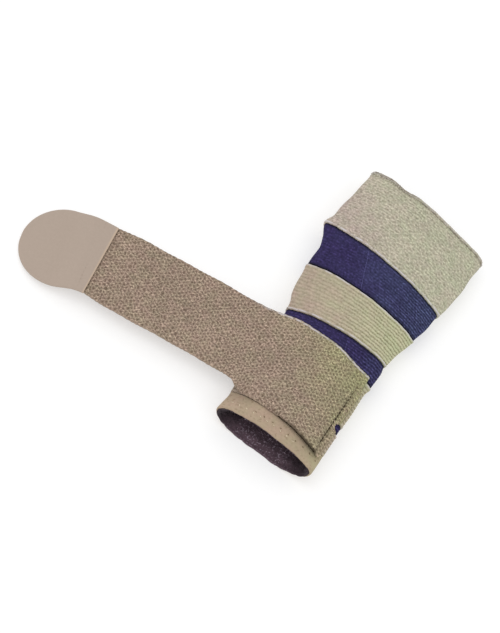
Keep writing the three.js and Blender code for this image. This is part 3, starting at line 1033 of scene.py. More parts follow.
class Cloth:
    """A cloth material in the making: its tree, coordinates and shader."""

    def __init__(self, name, sheen):
        self.material = bpy.data.materials.new(name)
        self.material.use_nodes = True
        self.tree = self.material.node_tree
        self.shader = self.tree.nodes["Principled BSDF"]
        self.place = add_node(self.tree, "ShaderNodeTexCoord").outputs["Object"]
        self.map = add_node(self.tree, "ShaderNodeUVMap", uv_map="cloth").outputs[0]
        self.shader.inputs["Specular IOR Level"].default_value = 0.1
        self.shader.inputs["Sheen Weight"].default_value = sheen
        self.shader.inputs["Sheen Roughness"].default_value = 0.6

    def yarn(self, relief, crest, groove, mottle, fleck=0.0, grain=750.0):
        return use_group(
            self.tree, "Yarn shade", Vector=self.place, Relief=relief,
            Crest=solid(crest), Groove=solid(groove), Mottle=mottle, Fleck=fleck, Grain=grain,
        )["Color"]

    def knit(self, knit):
        """Relief of a knit, even where the cloth is smooth."""
        counts = add_node(self.tree, "ShaderNodeUVMap", uv_map="stitches").outputs[0]
        relief = use_group(
            self.tree, "Knit", Vector=self.place, Counts=counts, Stitches=knit.stitches, Pebble=knit.pebble,
            Jitter=knit.jitter, Wobble=knit.wobble, Sharpness=knit.sharpness,
        )["Relief"]
        off = calc(self.tree, "SUBTRACT", relief, SMOOTH)
        return calc(self.tree, "MULTIPLY_ADD", off, attribute(self.tree, "face"), SMOOTH)

    def painted_cast(self, shade, **tints):
        return use_group(self.tree, "Dye drift", Vector=self.place, Color=shade, **tints)["Color"]

    def done(self, shade, height=None, depth=0.12):
        """Link the colour, and fibres over any height for the bump."""
        fibre = use_group(self.tree, "Yarn fibre", Vector=self.place)
        surface = fibre["Height"]
        if height is not None:
            surface = calc(self.tree, "MULTIPLY_ADD", fibre["Height"], 0.4, height)
        inputs = {"Height": surface, "Strength": 0.5, "Distance": depth * MM}
        bump = add_node(self.tree, "ShaderNodeBump", inputs)
        self.tree.links.new(shade, self.shader.inputs["Base Color"])
        self.tree.links.new(fibre["Roughness"], self.shader.inputs["Roughness"])
        self.tree.links.new(bump.outputs[0], self.shader.inputs["Normal"])
        return self.material


def beige_knit(name, knit, mottle, fleck, grain=750.0, **tints):
    """Beige yarn with painted shade in its grooves, a pale thread along edges, and painted shade in folds and
    at the strap's lifted corner, besides dark marks at the palm edge.
    """
    cloth = Cloth(name, 0.1)
    thread = settings("thread")
    relief = cloth.knit(knit)
    shade = cloth.painted_cast(cloth.yarn(relief, knit.crest, knit.groove, mottle, fleck, grain), **tints)
    gaps = remap(cloth.tree, noise(cloth.tree, cloth.place, 260.0)[0], 0.38, 0.56, 0.2, 1.0)
    broken = calc(cloth.tree, "MULTIPLY", attribute(cloth.tree, "trim"), gaps)
    edged = blend(cloth.tree, broken, shade, solid(thread.pale))
    # painted shade and dark marks, in the dark thread's colour
    deep = blend(cloth.tree, attribute(cloth.tree, "deep"), edged, solid(thread.dark))
    return cloth.done(deep, relief, 0.35)


def navy_knit(name, knit):
    """Navy yarn with a painted light cast from purple to blue, and painted shadow, nearly black, along its
    edges.
    """
    cloth = Cloth(name, 0.02)
    relief = cloth.knit(knit)
    # painted light cast: purple on the left, a brighter blue on the right
    shade = cloth.painted_cast(
        cloth.yarn(relief, knit.crest, knit.groove, 2.0, 0.7),
        Rosy=(0.87, 0.72, 0.91, 1), Olive=(1.25, 1.57, 1.29, 1), Start=-0.01, End=0.05,
    )
    # near-black painted shadow along the edges
    edge = solid(scaled(knit.groove, 0.1))
    return cloth.done(blend(cloth.tree, attribute(cloth.tree, "deep"), shade, edge), relief, 0.1)


def hem_knit(name, knit):
    """Smooth beige jersey with painted shade between its stitches and a painted shadow of the strap on its
    left side.
    """
    cloth = Cloth(name, 0.1)
    jersey = use_group(cloth.tree, "Jersey", Cloth=cloth.map, Row=0.8 * MM, Stitch=0.8 * MM)
    shade = cloth.yarn(cloth.knit(knit), knit.crest, knit.groove, 0.35)
    gaps = calc(cloth.tree, "MULTIPLY", jersey["Gap"], 0.2)
    painted_cast = cloth.painted_cast(blend(cloth.tree, gaps, shade, solid(knit.groove)))
    shadowed = blend(cloth.tree, attribute(cloth.tree, "deep"), painted_cast, solid(settings("thread").dark))
    return cloth.done(shadowed, jersey["Height"], 0.08)


def tab_felt(name, tint):
    """Smooth woven facing of the tab, with painted shade between its threads and a painted highlight along
    its root edge.
    """
    cloth = Cloth(name, 0.1)
    weave = use_group(cloth.tree, "Jersey", Cloth=cloth.map, Row=0.55 * MM, Stitch=0.55 * MM)
    shade = cloth.yarn(1.0, tint, tint, 0.12)
    darker = solid(scaled(tint, 0.8))
    gaps = calc(cloth.tree, "MULTIPLY", weave["Gap"], 0.15)
    woven = blend(cloth.tree, gaps, shade, darker)
    # pale painted highlight along the root edge
    edge = solid(scaled(tint, (1.32, 1.25, 1.12)))
    return cloth.done(blend(cloth.tree, attribute(cloth.tree, "trim"), woven, edge), weave["Height"], 0.05)


def terry(name, lining):
    """Dark terry whose palest loops show as specks, with painted shade deeper in and towards the sides, where
    the specks don't show.
    """
    cloth = Cloth(name, 0.1)
    tree = cloth.tree
    grain = remap(tree, noise(tree, cloth.place, 1000.0, 1.0)[0], 0.55, 0.72, 0.0, 0.6)
    pale = calc(tree, "MAXIMUM", remap(tree, attribute(tree, "speck"), 0.75, 1.0), grain)
    painted_depth_shade = attribute(tree, "deep")
    seen = calc(tree, "MULTIPLY", pale, calc(tree, "SUBTRACT", 1.0, painted_depth_shade))
    lit = blend(tree, seen, cloth.yarn(0.9, lining.dark, lining.dark, 0.8), solid(lining.speck))
    shadow = solid(scaled(lining.dark, 0.12))
    return cloth.done(blend(tree, calc(tree, "MULTIPLY", painted_depth_shade, 0.8), lit, shadow))


def thread_material(name, tint):
    """Twisted sewing thread."""
    cloth = Cloth(name, 0.05)
    return cloth.done(cloth.yarn(1.0, tint, tint, 0.5))


# Pieces


def edge_profile(band, run, total):
    """How far the outer face lies in from its level, along the band."""
    to_edge = np.minimum(run, total - run)
    drop = EDGE_DROP * rounding(to_edge, EDGE_ROUND)
    for side, distance in zip(band.pale, (run, total - run)):
        drop = drop - side * BEAD_PROUD * bead(distance)
    if band.knit == "cuff":
        from_roll = run - (total - ROLL_LENGTH)
        groove = 0.6 * EDGE_DROP
        drop = np.where(from_roll > 0, 0, drop + groove * hump(from_roll, 0.45))
        roll = np.sqrt(np.clip(1 - (2 * from_roll / ROLL_LENGTH - 1) ** 2, 0, 1))
        drop = np.where(from_roll > 0, lerp(groove, -ROLL_PROUD, roll), drop)
    return drop


def bead(distance):
    """Height of the edge thread across it."""
    return np.sin(np.pi * np.clip(distance / BEAD_LENGTH, 0, 1)) ** 2


def palm_marks(from_edge, angle):
    """Dark marks at the palm edge: dots on the left and a broken line beside the roll."""
    across = np.cos(angle)
    dots = np.sin(120 * angle + 4 * np.sin(2.6 * from_edge)) * np.sin(4.1 * from_edge + 9 * angle)
    ragged = smoothstep(from_edge, -5.5, -3) * smoothstep(-across, 0.25, 0.5)
    breaks = lerp(0.35, 1, smoothstep(np.sin(31 * angle + 2 * np.sin(9 * angle)), -0.4, 0.5))
    line = hump(from_edge + ROLL_LENGTH, 0.55) * smoothstep(across, -0.5, -0.25)
    marks = 0.8 * smoothstep(dots, 0.1, 0.55) * ragged + 0.55 * line * breaks
    return marks * (np.sin(angle) > 0)


def face_depths(band, run, total, angles, free):
    """Depth of a band's outer face below the form; the cuff's left corner is rounder."""
    depth = band.recess + edge_profile(band, run, total)[:, None] * free
    if band.knit == "cuff":
        corner = smoothstep(-np.cos(angles), 0.75, 1)
        depth = depth + rounding(total - run, CUFF_CORNER)[:, None] * corner
    return depth


def wall_depths(band, run, angles):
    """Depth of a band's inner face; the hem is thin at the wrist edge."""
    thickness = np.full(len(run), band.wall)
    if band.knit == "hem":
        thickness = lerp(HEM_LIP, band.wall, smoothstep(run, 0, HEM_TAPER))
    return np.broadcast_to(band.recess + thickness[:, None], (len(run), len(angles)))


def relief_weight(band, to_edge, angles, free):
    """How much of its knit a band shows: less towards the left on some, and none at its edges."""
    weight = smoothstep(to_edge, 0.2, 0.9) * free
    if band.knit == "navy":
        weight = weight * lerp(0.2, 1, smoothstep(np.cos(angles), -0.1, 0.9))
    if band.name == "rib_band":
        weight = weight * lerp(0.3, 1, smoothstep(np.cos(angles), -0.7, 0.9))
    return weight


def darkness(band, run, total, angles):
    """Painted shade and dark marks of a band: painted shadow along navy edges, the palm edge's own marks, and
    painted shade on left sides.
    """
    leftward = -np.cos(angles)
    if band.knit == "cuff":
        return palm_marks(run - total, angles)
    # painted shadow of the strap on the hem's left side
    if band.knit == "hem":
        return 0.28 * smoothstep(leftward, 0.35, 0.8) * smoothstep(run, 3, total)
    # painted shade on the rib band's left side
    if band.name == "rib_band":
        return 0.07 * smoothstep(leftward, 0.3, 0.9)
    # painted shade on the lower rib's left side
    if band.name == "wrist_rib_lower":
        return 0.3 * smoothstep(leftward, 0.5, 0.9)
    # painted shadow along the navy bands' edges, under the beige bands' raised edges
    return hump(np.minimum(run, total - run), 1.3) * (band.knit == "navy")


def edge_trim(band, run, total):
    """Where a band has a pale edge thread, and the cuff's roll, which is a little pale."""
    trim = sum(side * bead(distance) for side, distance in zip(band.pale, (run, total - run)))
    if band.knit == "cuff":
        trim = trim + 0.3 * (run > total - ROLL_LENGTH)
    return np.clip(trim, 0, 1)


def make_band(band, edge):
    """One knitted band from the edge before it, as a closed wall."""
    knit = settings(band.knit)
    start, end = edge.to + SEAM / 2, band.to - SEAM / 2
    total = end - start
    angles, outline = even_angles((start + end) / 2, AROUND_STEP)
    free = freedom((start + end) / 2, angles)
    outer = np.linspace(0, 1, round(total / ALONG_STEP) + 1)
    inner = np.linspace(1, 0, max(round(total / INNER_STEP), 3) + 1)
    lip = np.linspace(0, 1, LIP_STEPS + 2)[1:-1, None]
    t = np.concatenate((outer, np.ones(LIP_STEPS), inner, np.zeros(LIP_STEPS)))[:, None]
    run = outer * total
    face = face_depths(band, run, total, angles, free)
    wall = wall_depths(band, inner * total, angles)
    depth = np.concatenate((face, lerp(face[-1], wall[0], lip), wall, lerp(wall[-1], face[0], lip)))
    stray = lerp(edge_wave(angles, edge.to), edge_wave(angles, band.to), t)
    at = start + t * total + stray * free
    if band.knit == "hem":
        at = at + hem_bow(angles) * (1 - t)
    if band.knit == "cuff":
        at = at - palm_pull(angles) * free * smoothstep(t * total, total - PALM_PULL_LENGTH, total)
    slant = lerp(edge.slant, band.slant, t)
    grid = wall_points(at, slant, angles, depth - slackness(at, angles) * free)

    weight = relief_weight(band, np.minimum(run, total - run)[:, None], angles, free)
    deep = np.broadcast_to(darkness(band, run[:, None], total, angles), weight.shape)
    bare = np.zeros((len(t) - len(outer), len(angles)))
    course = total / band.ribs if band.ribs else knit.course / MM
    wales = round(outline * MM / knit.wale)
    values = {
        "row": t * total / course,
        "stitch": np.arange(len(angles)) / len(angles) * wales,
        "face": np.concatenate((weight, np.full(bare.shape, INSIDE_FACE))),
        "sink": np.concatenate((weight, bare)),
        "trim": np.concatenate((edge_trim(band, run, total)[:, None] * free, bare)),
        "deep": np.concatenate((deep * free, bare)),
    }
    maps = ring_maps(grid, outline, wales, values["row"])
    piece = grid_piece(f"{band.name}_knit", grid, True, maps, values)
    knit_into(piece, knit, f"{band.knit}_yarn")
    seat(piece, band.slot, band.name)
    return piece, (outline * MM, total * MM)


def ring_maps(grid, outline, wales, row):
    """Cloth map in metres and stitch map in counts of a ring-shaped piece."""
    rows, columns = grid.shape[:2]
    turn = wrapped(np.broadcast_to(np.arange(columns) / columns, (rows, columns)), 1.0)
    steps = np.linalg.norm(np.diff(grid[:, 0], axis=0, append=grid[:1, 0]), axis=1)
    run = np.broadcast_to(np.concatenate(([0], np.cumsum(steps)))[:, None], turn.shape)
    counts = wrapped(np.broadcast_to(row, (rows, columns)), row)
    return {"cloth": (turn * outline * MM, run * MM), "stitches": (turn * wales, counts)}


def knit_into(piece, knit, material):
    """Give a piece the relief of a knit."""
    run_tree(
        piece, shared("Knit relief"), depth=knit.depth, stitches=knit.stitches, pebble=knit.pebble,
        jitter=knit.jitter, wobble=knit.wobble, sharpness=knit.sharpness,
        material=bpy.data.materials[material],
    )


def make_plate(name, along, reach, levels, height, wall, values, under):
    """Closed strap-like piece over cross sections: places along it, reach across it, top and bottom."""
    along = np.broadcast_to(along, reach.shape)
    upper, lower = (strap_points(along, reach, level, height)[0] for level in levels)
    grid = np.concatenate((upper, lower[:, ::-1]), axis=1)
    both = {
        key: np.concatenate((value, under.get(key, value)[:, ::-1]), axis=1) for key, value in values.items()
    }
    across = np.concatenate((reach, 2 * reach[:, -1:] + wall - reach[:, ::-1]), axis=1)
    run = wrapped(np.concatenate((along, along[:, ::-1]), axis=1), along[:, :1])
    maps = {"cloth": (wrapped(across, across[:, -1:] + wall) * MM, run * MM)}
    if "row" in both:
        maps["stitches"] = tuple(wrapped(both[key], both[key][:, :1]) for key in ("stitch", "row"))
    return grid_piece(name, grid, False, maps, both)


def flat_area(width, at):
    """Area in square metres of a cut whose width is given along it, in millimetres."""
    return float(np.sum((width[1:] + width[:-1]) / 2 * np.diff(at))) * MM * MM


def edge_places(total, count):
    """Places over a length, closer together at both ends."""
    inner = np.linspace(EDGE_INSET, total - EDGE_INSET, count)
    return np.concatenate((EDGE_PLACES, inner, total - EDGE_PLACES[::-1]))


def across_places(width, step):
    """Shares of a strap's width from 0 to 1, closer together at its edges."""
    return edge_places(width, round((width - 2 * EDGE_INSET) / step) + 1) / width


def frayed(at, phase):
    """How far a strap's edge strays."""
    slow = 0.3 * np.sin(at / 11.3 + phase) * np.sin(at / 5.7 + 2 * phase)
    return slow + 0.12 * np.sin(at * 1.7 + 3 * np.sin(at / 4.1 + phase))


def drawn_in(at, reach):
    """How far the strap's sewn end is drawn in: in a notch, and at its corner."""
    notch = NOTCH_DEPTH * np.exp(-(((reach - NOTCH_REACH) / NOTCH_HALF) ** 4))
    corner = CORNER_DEPTH * smoothstep(reach, 8, 23)
    return (notch + corner) * fade(at, 0, SEWN_LINE)


def edge_lift(at):
    """How far the strap's corner stands off the hem along its near edge, from 0 to 1."""
    return within(at, CORNER_UP)


def make_strap():
    """Strap: a thick loop-knit band with soft edges, sewn down at one end."""
    knit = settings("strap")
    at = edge_places(STRAP_LENGTH, round(STRAP_LENGTH / STRAP_STEP))
    near = sample(STRAP_EDGES, "near", at) + frayed(at, 0)
    far = sample(STRAP_EDGES, "far", at) + frayed(at, 5)
    width = near + far
    from_near = width[:, None] * across_places(MEAN_WIDTH, STRAP_STEP)
    reach = -near[:, None] + from_near
    from_far = width[:, None] - from_near
    from_end = np.minimum(at, STRAP_LENGTH - at)[:, None]
    soft_edge = lerp(1.0, 2.3, within(at, SOFT))[:, None]
    rounded = np.maximum(rounding(from_near, soft_edge), rounding(from_far, 1.0))
    top = STRAP_WALL - STRAP_EDGE_DROP * rounded
    top = np.minimum(top, STRAP_WALL - STRAP_END_DROP * rounding(from_end, 1.0))
    bottom = STRAP_UNDER_RISE * np.maximum(rounding(from_near, 0.8), rounding(from_far, 0.8))
    corner = edge_lift(at)[:, None]
    lift = CORNER_LIFT * corner * fade(from_near, 0, 9)
    settled = within(at, SETTLED)[:, None] * fade(from_near, 0, 5)
    top = top - SETTLED_DROP * settled
    bottom = lerp(bottom, SETTLED_UNDER, settled)
    lift = lift + FAR_LIFT * fade(at, 0, 9)[:, None] * fade(from_far, 0, 7)
    seam = hump(at - SEWN_LINE, 0.6)[:, None] * lerp(0.3, 1, fade(from_near, 30, 54))
    top = top - SEAM_DROP * seam
    weight = smoothstep(np.minimum(from_near, from_far), 0, 0.4) * smoothstep(from_end, 0, 0.5)
    pale = bead(from_far - 0.45) * fade(at, 58, 80)[:, None]
    ticks = smoothstep(np.sin(2.9 * at + 3 * np.sin(at / 3))[:, None] * np.sin(3.3 * from_near), 0.1, 0.6)
    ticked = within(at, TICKED)[:, None] * fade(from_near, 0.5, 4)
    # painted shade in the sewn groove and painted shadow along the lifted near corner
    shade = np.maximum(0.45 * seam, 0.85 * corner * hump(from_near, 0.8))
    values = {
        "row": np.broadcast_to(at[:, None] * MM / knit.course, reach.shape),
        "stitch": reach * MM / knit.wale,
        "face": weight,
        "sink": weight,
        "trim": pale,
        "deep": np.maximum(shade, 0.4 * ticks * ticked),
    }
    # painted shadow on the underside below the lifted corner
    under = {"deep": np.broadcast_to(0.95 * corner, reach.shape)}
    levels = (top + lift, bottom + lift)
    along = at[:, None] + drawn_in(at[:, None], reach)
    piece = make_plate("strap_cloth", along, reach, levels, strap_height, STRAP_WALL, values, under)
    knit_into(piece, knit, "strap_yarn")
    seat(piece, "strap_loop", "strap")
    area = flat_area(width, at)
    return piece, (float(width.max()) * MM, STRAP_LENGTH * MM), area


def tab_reach(along, side):
    """Reach of one side of the tab at some distance from its root."""
    straight = TAB_LENGTH - TAB_ROUND
    body = lerp(side.root, side.wide, smoothstep(along, 0, straight))
    round_share = np.clip((along - straight) / TAB_ROUND, 0, TAB_TIP)
    return np.where(along <= straight, body, side.wide * np.sqrt(1 - round_share**2))


def make_tab():
    """Hook tab: a thin smooth facing with a rounded end, on top of the strap's end."""
    straight = TAB_LENGTH - TAB_ROUND
    body = np.concatenate(((0, 0.15, 0.4), np.linspace(0.8, straight, round(straight / TAB_STEP))))
    turn = np.linspace(0, np.pi / 2, 64)[1:]
    along = np.concatenate((body, straight + TAB_TIP * TAB_ROUND * np.sin(turn)))
    near = tab_reach(along, TAB_NEAR)[:, None]
    far = tab_reach(along, TAB_FAR)[:, None]
    widest = TAB_NEAR.wide + TAB_FAR.wide
    reach = lerp(-near, far, across_places(widest, TAB_STEP))
    to_side = np.minimum(reach + near, far - reach)
    to_tip = (TAB_LENGTH - along)[:, None]
    to_root = along[:, None]
    ends = np.maximum(rounding(to_tip, 0.4), 0.6 * rounding(to_root, 0.5))
    drop = np.maximum(rounding(to_side, 0.6), ends)
    top = TAB_WALL - 0.6 * drop
    bottom = 0.35 * rounding(to_side, 0.5)
    ripple = 0.12 * np.sin(along / 5.3 + 1)[:, None] * np.sin(reach / 7.1 + 0.6)
    # painted highlight along the tab's root edge
    values = {"trim": np.broadcast_to(hump(to_root - 0.35, 0.45), reach.shape)}
    levels = (top + ripple, bottom)
    piece = make_plate("tab_cloth", TAB_FROM + to_root, reach, levels, tab_height, TAB_WALL, values, {})
    piece.data.materials.append(bpy.data.materials["tab_facing"])
    seat(piece, "tab_felt", "hook_tab")
    area = flat_area((near + far)[:, 0], along)
    return piece, (widest * MM, TAB_LENGTH * MM), area


def make_lining():
    """Lining of the wrist part, turned out over the wrist edge, and the loops of its pile."""
    lining = settings("lining")
    angles, outline = even_angles(LINING_TO / 2, LINING_STEP)
    free = freedom(LINING_TO / 2, angles)
    inside = LINING_DEPTH + LINING_WALL
    back = np.linspace(LINING_TO, 1.0, round(LINING_TO / LINING_BACK_STEP))
    front = np.linspace(1.6, LINING_TO, round(LINING_TO / LINING_STEP))
    turned_out = fade(np.sin(angles), -0.25, 0.3)
    bow = hem_bow(angles)
    edge = HEM_LIP + 0.45
    rim = lerp(edge, lerp(0.3, 0.75, free), turned_out)
    lip = TURNED_OUT * turned_out
    folded = (
        (bow + 0.12 - SEAM * turned_out, lerp(edge, LINING_DEPTH, turned_out)),
        (bow - SEAM * turned_out, rim),
        (bow - lip, rim + 0.1),
        (bow - 1.3 * lip + 0.1, rim + 0.4),
        (bow - lip + 0.4, rim + 0.9),
        (bow + 0.9, rim + 1.5),
    )

    def ring(values):
        return np.broadcast_to(values, (1, len(angles)))

    def flared(place, full):
        """Depth of the lining, which rises to the hem's thin edge."""
        return lerp(full - LINING_DEPTH + edge, full, smoothstep(place[:, None] - bow, 0, HEM_TAPER))

    behind, ahead = (place[:, None] + bow * fade(place, 1, 12)[:, None] for place in (back, front))
    at = np.concatenate((behind, *(ring(place) for place, _ in folded), ahead))
    rims = (ring(level) for _, level in folded)
    depth = np.concatenate((flared(back, LINING_DEPTH), *rims, flared(front, inside)))
    ragged = 0.5 * np.sin(7 * angles + 1) + 0.4 * np.sin(17 * angles)
    lies = at - np.abs(ragged) * turned_out * fade(at, -0.2, 0.6) * 0.5
    lumps = 0.18 * np.sin(lies * 2.1 + 5 * np.sin(9 * angles)) * np.sin(31 * angles + lies)
    grid = wall_points(lies, 0, angles, depth - slackness(lies, angles) * free + lumps * (depth > LUMP_DEPTH))
    pile = (depth > PILE_DEPTH) * (at > PILE_FROM) * (at < PILE_TO) * 1.0
    maps = ring_maps(grid, outline, 1, np.zeros((len(at), 1)))
    # painted shade: darker deeper in and towards the sides
    deep = np.maximum(smoothstep(at, 8, 26), 0.9 * smoothstep(np.abs(np.cos(angles)), 0.45, 0.95))
    values = {"pile": pile, "speck": np.zeros(depth.shape), "deep": np.broadcast_to(deep, depth.shape)}
    cloth = grid_piece("lining_cloth", grid, True, maps, values)
    cloth.data.materials.append(bpy.data.materials["terry_yarn"])
    loops = add_piece("lining_pile", cloth.data.copy())
    run_tree(
        loops, shared("Terry pile"), spacing=lining.spacing, loop=lining.loop, seed=4,
        material=bpy.data.materials["terry_yarn"],
    )
    seat(cloth, "lining_terry", "wrist_lining")
    seat(loops, "lining_terry")
    return cloth, loops, (outline * MM, LINING_TO * MM)


# Stitching


def sew(name, path):
    """Row of stitches from the table, along a path of points and directions out of the cloth."""
    row = STITCHES[name]
    piece = path_piece(name, *path)
    run_tree(
        piece, shared("Stitch row"), pitch=row.pitch * MM, span=row.span * MM, rise=row.rise * MM,
        thickness=row.thickness * MM, turn=math.radians(row.turn), stray=row.stray, seed=row.seed,
        material=bpy.data.materials[row.thread],
    )
    piece["sewn_in"] = row.sewn_in
    seat(piece, row.slot)


def ring_path(band_end, back, angles, depth):
    """Path round the sleeve, some way back from a band's edge."""
    at = band_end.to - back + edge_wave(angles, band_end.to)
    if band_end.knit == "cuff":
        at = at - palm_pull(angles)
    free = freedom(at, angles)
    sunk = depth - slackness(at, angles) * free
    return wall_points(at, band_end.slant, angles, sunk), wall_normals(at, band_end.slant, angles)


def strap_path(at, near, far, raised, height):
    """Path straight across the strap or the tab."""
    reach = np.linspace(-near, far, 60)
    return strap_points(np.full(60, float(at)), reach, np.full(60, raised), height)


def lengthwise(x, at, end_x, end_at):
    """Path along the sleeve's upper side on a navy band, between two places."""
    t = np.linspace(0, 1, 40)
    place = lerp(at, end_at, t)
    across = lerp(x, end_x, t)
    reach = np.where(across < 0, sample(FORM, "left", place), sample(FORM, "right", place))
    angle = np.arccos(across / reach)
    depth = NAVY_RECESS - slackness(place, angle)
    return wall_points(place, 0, angle, depth), wall_normals(place, 0, angle)


def make_stitches():
    """All rows of stitches, each along its own path."""
    cuff, hem = BANDS[-1], BANDS[0]
    over_palm = np.linspace(0.06, np.pi - 0.5, 400)
    left_palm = np.linspace(1.75, np.pi - 0.05, 200)
    left_hem = np.linspace(1.15, np.pi - 0.55, 200)
    right_hem = np.linspace(0.4, 2.0, 200)
    palm_line = ring_path(cuff, ROLL_LENGTH + 0.1, over_palm, 0.3)
    palm_roll = ring_path(cuff, ROLL_LENGTH / 2, over_palm, -0.12)
    palm_fuzz = ring_path(cuff, ROLL_LENGTH / 2, left_palm, -0.25)
    hem_line = ring_path(hem, 7.6, left_hem, 0.2)
    hem_holes = ring_path(hem, 6.2, right_hem, 0.22)
    sewn = strap_path(SEWN_LINE, 38.0, 7.0, STRAP_WALL - 0.45, strap_height)
    sunk = strap_path(SEWN_LINE, -7.0, 22.5, STRAP_WALL - 0.35, strap_height)
    # dark cord that stands in for the shadow under the strap's lifted near edge
    along = np.linspace(SEWN_LINE, 31, 80)
    beside = -sample(STRAP_EDGES, "near", along) - frayed(along, 0) + 0.1
    shadow_cord = strap_points(along, beside, 0.2 + 1.7 * edge_lift(along), strap_height)
    over_end = np.linspace(-38.3, 21.5, 120)
    margin_at = SEWN_LINE / 2 + 0.55 * drawn_in(0, over_end)
    margin = strap_points(margin_at, over_end, np.full(120, STRAP_WALL - 0.3), strap_height)
    fold = strap_path(TAB_FROM - 10, 23.5, 24.0, STRAP_WALL - 0.45, strap_height)
    root = strap_path(TAB_FROM + 6.2, 22.5, 22.5, TAB_WALL - 0.05, tab_height)
    paths = {
        "palm_edge_stitches": palm_line,
        "palm_edge_loops": palm_roll,
        "palm_edge_fuzz": palm_fuzz,
        "hem_stitches": hem_line,
        "hem_needle_marks": hem_holes,
        "strap_end_stitches": sewn,
        "strap_edge_cord": shadow_cord,
        "strap_end_sunk_stitches": sunk,
        "strap_end_overlock": margin,
        "strap_fold_stitches": fold,
        "tab_stitches": root,
        "upper_navy_thread": lengthwise(-4.4, 117.4, -12.9, 141.6),
        "lower_navy_thread": lengthwise(8.6, 75.5, 6.2, 83.2),
    }
    for name, path in paths.items():
        sew(name, path)


def make_materials():
    """All finishes, by name."""
    thread, strap = settings("thread"), settings("strap")
    beige_knit("rib_yarn", settings("rib"), 0.9, 0.0)
    beige_knit("cuff_yarn", settings("cuff"), 1.55, 0.1, 900.0, Start=-0.05, End=0.05)
    # painted light cast: greener towards the right
    beige_knit("strap_yarn", strap, 2.3, 0.55, 1400.0, Rosy=(1, 1, 1, 1), Olive=(0.99, 1.34, 0.84, 1))
    navy_knit("navy_yarn", settings("navy"))
    hem_knit("hem_yarn", settings("hem"))
    tab_felt("tab_facing", strap.tab)
    terry("terry_yarn", settings("lining"))
    thread_material("dark_thread", thread.dark)
    thread_material("brown_thread", thread.brown)
    thread_material("cuff_thread", settings("cuff").crest)
    thread_material("strap_thread", strap.groove)
    thread_material("overlock_thread", scaled(strap.crest, 1.35))
    thread_material("tab_thread", scaled(strap.tab, 0.9))
    thread_material("hem_thread", thread.cream)
    thread_material("grey_thread", scaled(settings("navy").crest, 2.2))


# Stage


def make_floor():
    """Wide pale floor with a faint grain."""
    stage = settings("stage")
    mesh = bpy.data.meshes.new("floor")
    corners = [(x * FLOOR_HALF, y * FLOOR_HALF, 0) for x, y in ((-1, -1), (1, -1), (1, 1), (-1, 1))]
    mesh.from_pydata(corners, [], [(0, 1, 2, 3)])
    floor = add_piece("floor", mesh)
    material = bpy.data.materials.new("floor_paper")
    material.use_nodes = True
    tree = material.node_tree
    shader = tree.nodes["Principled BSDF"]
    place = add_node(tree, "ShaderNodeTexCoord").outputs["Object"]
    grain = noise(tree, place, 300.0)[0]
    darker = scaled(stage.floor, 0.97)
    tree.links.new(blend(tree, grain, solid(darker), solid(stage.floor)), shader.inputs["Base Color"])
    shader.inputs["Emission Color"].default_value = (1, 1, 1, 1)
    shader.inputs["Emission Strength"].default_value = stage.glow
    shader.inputs["Roughness"].default_value = 0.9
    mesh.materials.append(material)


def make_lights():
    """Even sky and one large soft light."""
    stage = settings("stage")
    scene = bpy.context.scene
    scene.world = bpy.data.worlds.new("studio")
    scene.world.use_nodes = True
    sky = scene.world.node_tree.nodes["Background"]
    sky.inputs["Color"].default_value = (1, 1, 1, 1)
    sky.inputs["Strength"].default_value = stage.sky
    lamp = bpy.data.lights.new("key", "AREA")
    lamp.shape = "DISK"
    lamp.size = KEY_SIZE
    lamp.energy = stage.key
    key = bpy.data.objects.new("key", lamp)
    key.location = KEY_PLACE
    aim = Vector((0, 0, 0)) - key.location
    key.rotation_euler = aim.to_track_quat("-Z", "Y").to_euler()
    scene.collection.objects.link(key)
    scene.view_settings.view_transform = "Standard"


def make_camera():
    """Camera at the photograph's angle, rolled as it is."""
    forward = Vector((0, math.cos(ELEVATION), -math.sin(ELEVATION)))
    upward = Vector((0, math.sin(ELEVATION), math.cos(ELEVATION)))
    right = Vector((1, 0, 0))
    x = math.cos(ROLL) * right + math.sin(ROLL) * upward
    y = math.cos(ROLL) * upward - math.sin(ROLL) * right
    lens = bpy.data.cameras.new("camera")
    lens.lens = LENS
    lens.sensor_width = SENSOR
    camera = bpy.data.objects.new("camera", lens)
    axes = Matrix((x, y, -forward)).transposed().to_4x4()
    camera.matrix_world = Matrix.Translation(TARGET - DISTANCE * forward) @ axes
    bpy.context.scene.collection.objects.link(camera)
    bpy.context.scene.camera = camera


# Operators


class BRACE_OT_materials(Operator):
    """Mix the finishes of all yarns and threads"""

    bl_idname = "brace.materials"
    bl_label = "Finishes"

    def execute(self, context):
        make_materials()
        return {"FINISHED"}


class BRACE_OT_stitches(Operator):
    """Sew every row of stitches"""

    bl_idname = "brace.stitches"
    bl_label = "Stitches"

    def execute(self, context):
        make_stitches()
        return {"FINISHED"}


def sewn_in(key):
    """Rows of stitches that are sewn in a piece."""
    return [piece for piece in bpy.context.scene.objects if piece.get("sewn_in") == key]


class BRACE_OT_sleeve(Operator):
    """Knit the bands of the sleeve"""

    bl_idname = "brace.sleeve"
    bl_label = "Sleeve"

    def execute(self, context):
        edge = Band("wrist_edge", -SEAM / 2, 0, 0, 0, 0, "hem", "", (0, 0))
        flats = {}
        for band in BANDS:
            flats[band.name] = make_band(band, edge)
            edge = band
        stripe, _ = flats.pop("navy_stripe")
        company = {name: sewn_in(name) for name in flats}
        company["wrist_rib_upper"].append(stripe)
        return {"FINISHED"}


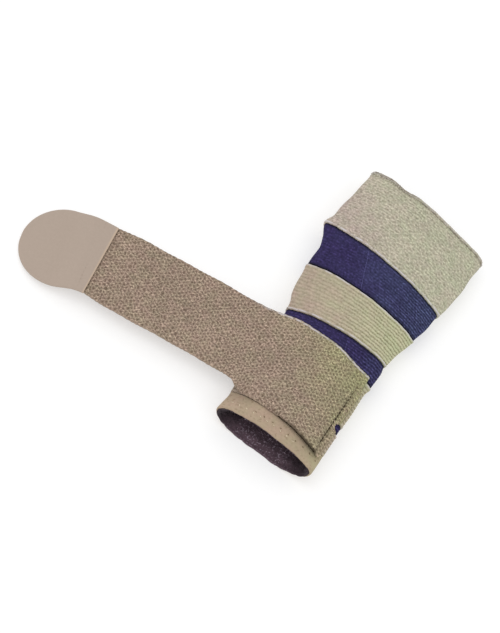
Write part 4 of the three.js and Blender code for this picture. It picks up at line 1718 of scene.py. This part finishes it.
class BRACE_OT_lining(Operator):
    """Line the wrist part with terry"""

    bl_idname = "brace.lining"
    bl_label = "Lining"

    def execute(self, context):
        cloth, loops, flat = make_lining()
        return {"FINISHED"}


class BRACE_OT_strap(Operator):
    """Make the loop-faced strap"""

    bl_idname = "brace.strap"
    bl_label = "Strap"

    def execute(self, context):
        piece, flat, area = make_strap()
        return {"FINISHED"}


class BRACE_OT_tab(Operator):
    """Make the hook tab on the strap's end"""

    bl_idname = "brace.tab"
    bl_label = "Hook tab"

    def execute(self, context):
        piece, flat, area = make_tab()
        return {"FINISHED"}


class BRACE_OT_stage(Operator):
    """Set up the floor, the light and the camera"""

    bl_idname = "brace.stage"
    bl_label = "Stage"

    def execute(self, context):
        make_floor()
        make_lights()
        make_camera()
        return {"FINISHED"}


class BRACE_PT_sidebar(Panel):
    """Settings and pieces of the hand brace"""

    bl_idname = "BRACE_PT_sidebar"
    bl_label = "Hand brace"
    bl_space_type = "VIEW_3D"
    bl_region_type = "UI"
    bl_category = "Hand brace"

    def draw(self, context):
        for name, group in SETTINGS.items():
            box = self.layout.box()
            box.label(text=group.__doc__)
            for key in group.__annotations__:
                box.prop(getattr(context.scene, f"brace_{name}"), key)
        for operator in OPERATORS:
            self.layout.operator(operator.bl_idname)


OPERATORS = (
    BRACE_OT_stage,
    BRACE_OT_materials,
    BRACE_OT_stitches,
    BRACE_OT_sleeve,
    BRACE_OT_lining,
    BRACE_OT_strap,
    BRACE_OT_tab,
)
CLASSES = (*SETTINGS.values(), *OPERATORS, BRACE_PT_sidebar)


def register():
    for made in CLASSES:
        bpy.utils.register_class(made)
    for name, group in SETTINGS.items():
        setattr(bpy.types.Scene, f"brace_{name}", PointerProperty(type=group))


def unregister():
    for name in SETTINGS:
        delattr(bpy.types.Scene, f"brace_{name}")
    for made in reversed(CLASSES):
        bpy.utils.unregister_class(made)


def main():
    register()
    bpy.ops.brace.stage()
    bpy.ops.brace.materials()
    bpy.ops.brace.stitches()
    bpy.ops.brace.sleeve()
    bpy.ops.brace.lining()
    bpy.ops.brace.strap()
    bpy.ops.brace.tab()


if __name__ == "__main__":
    main()
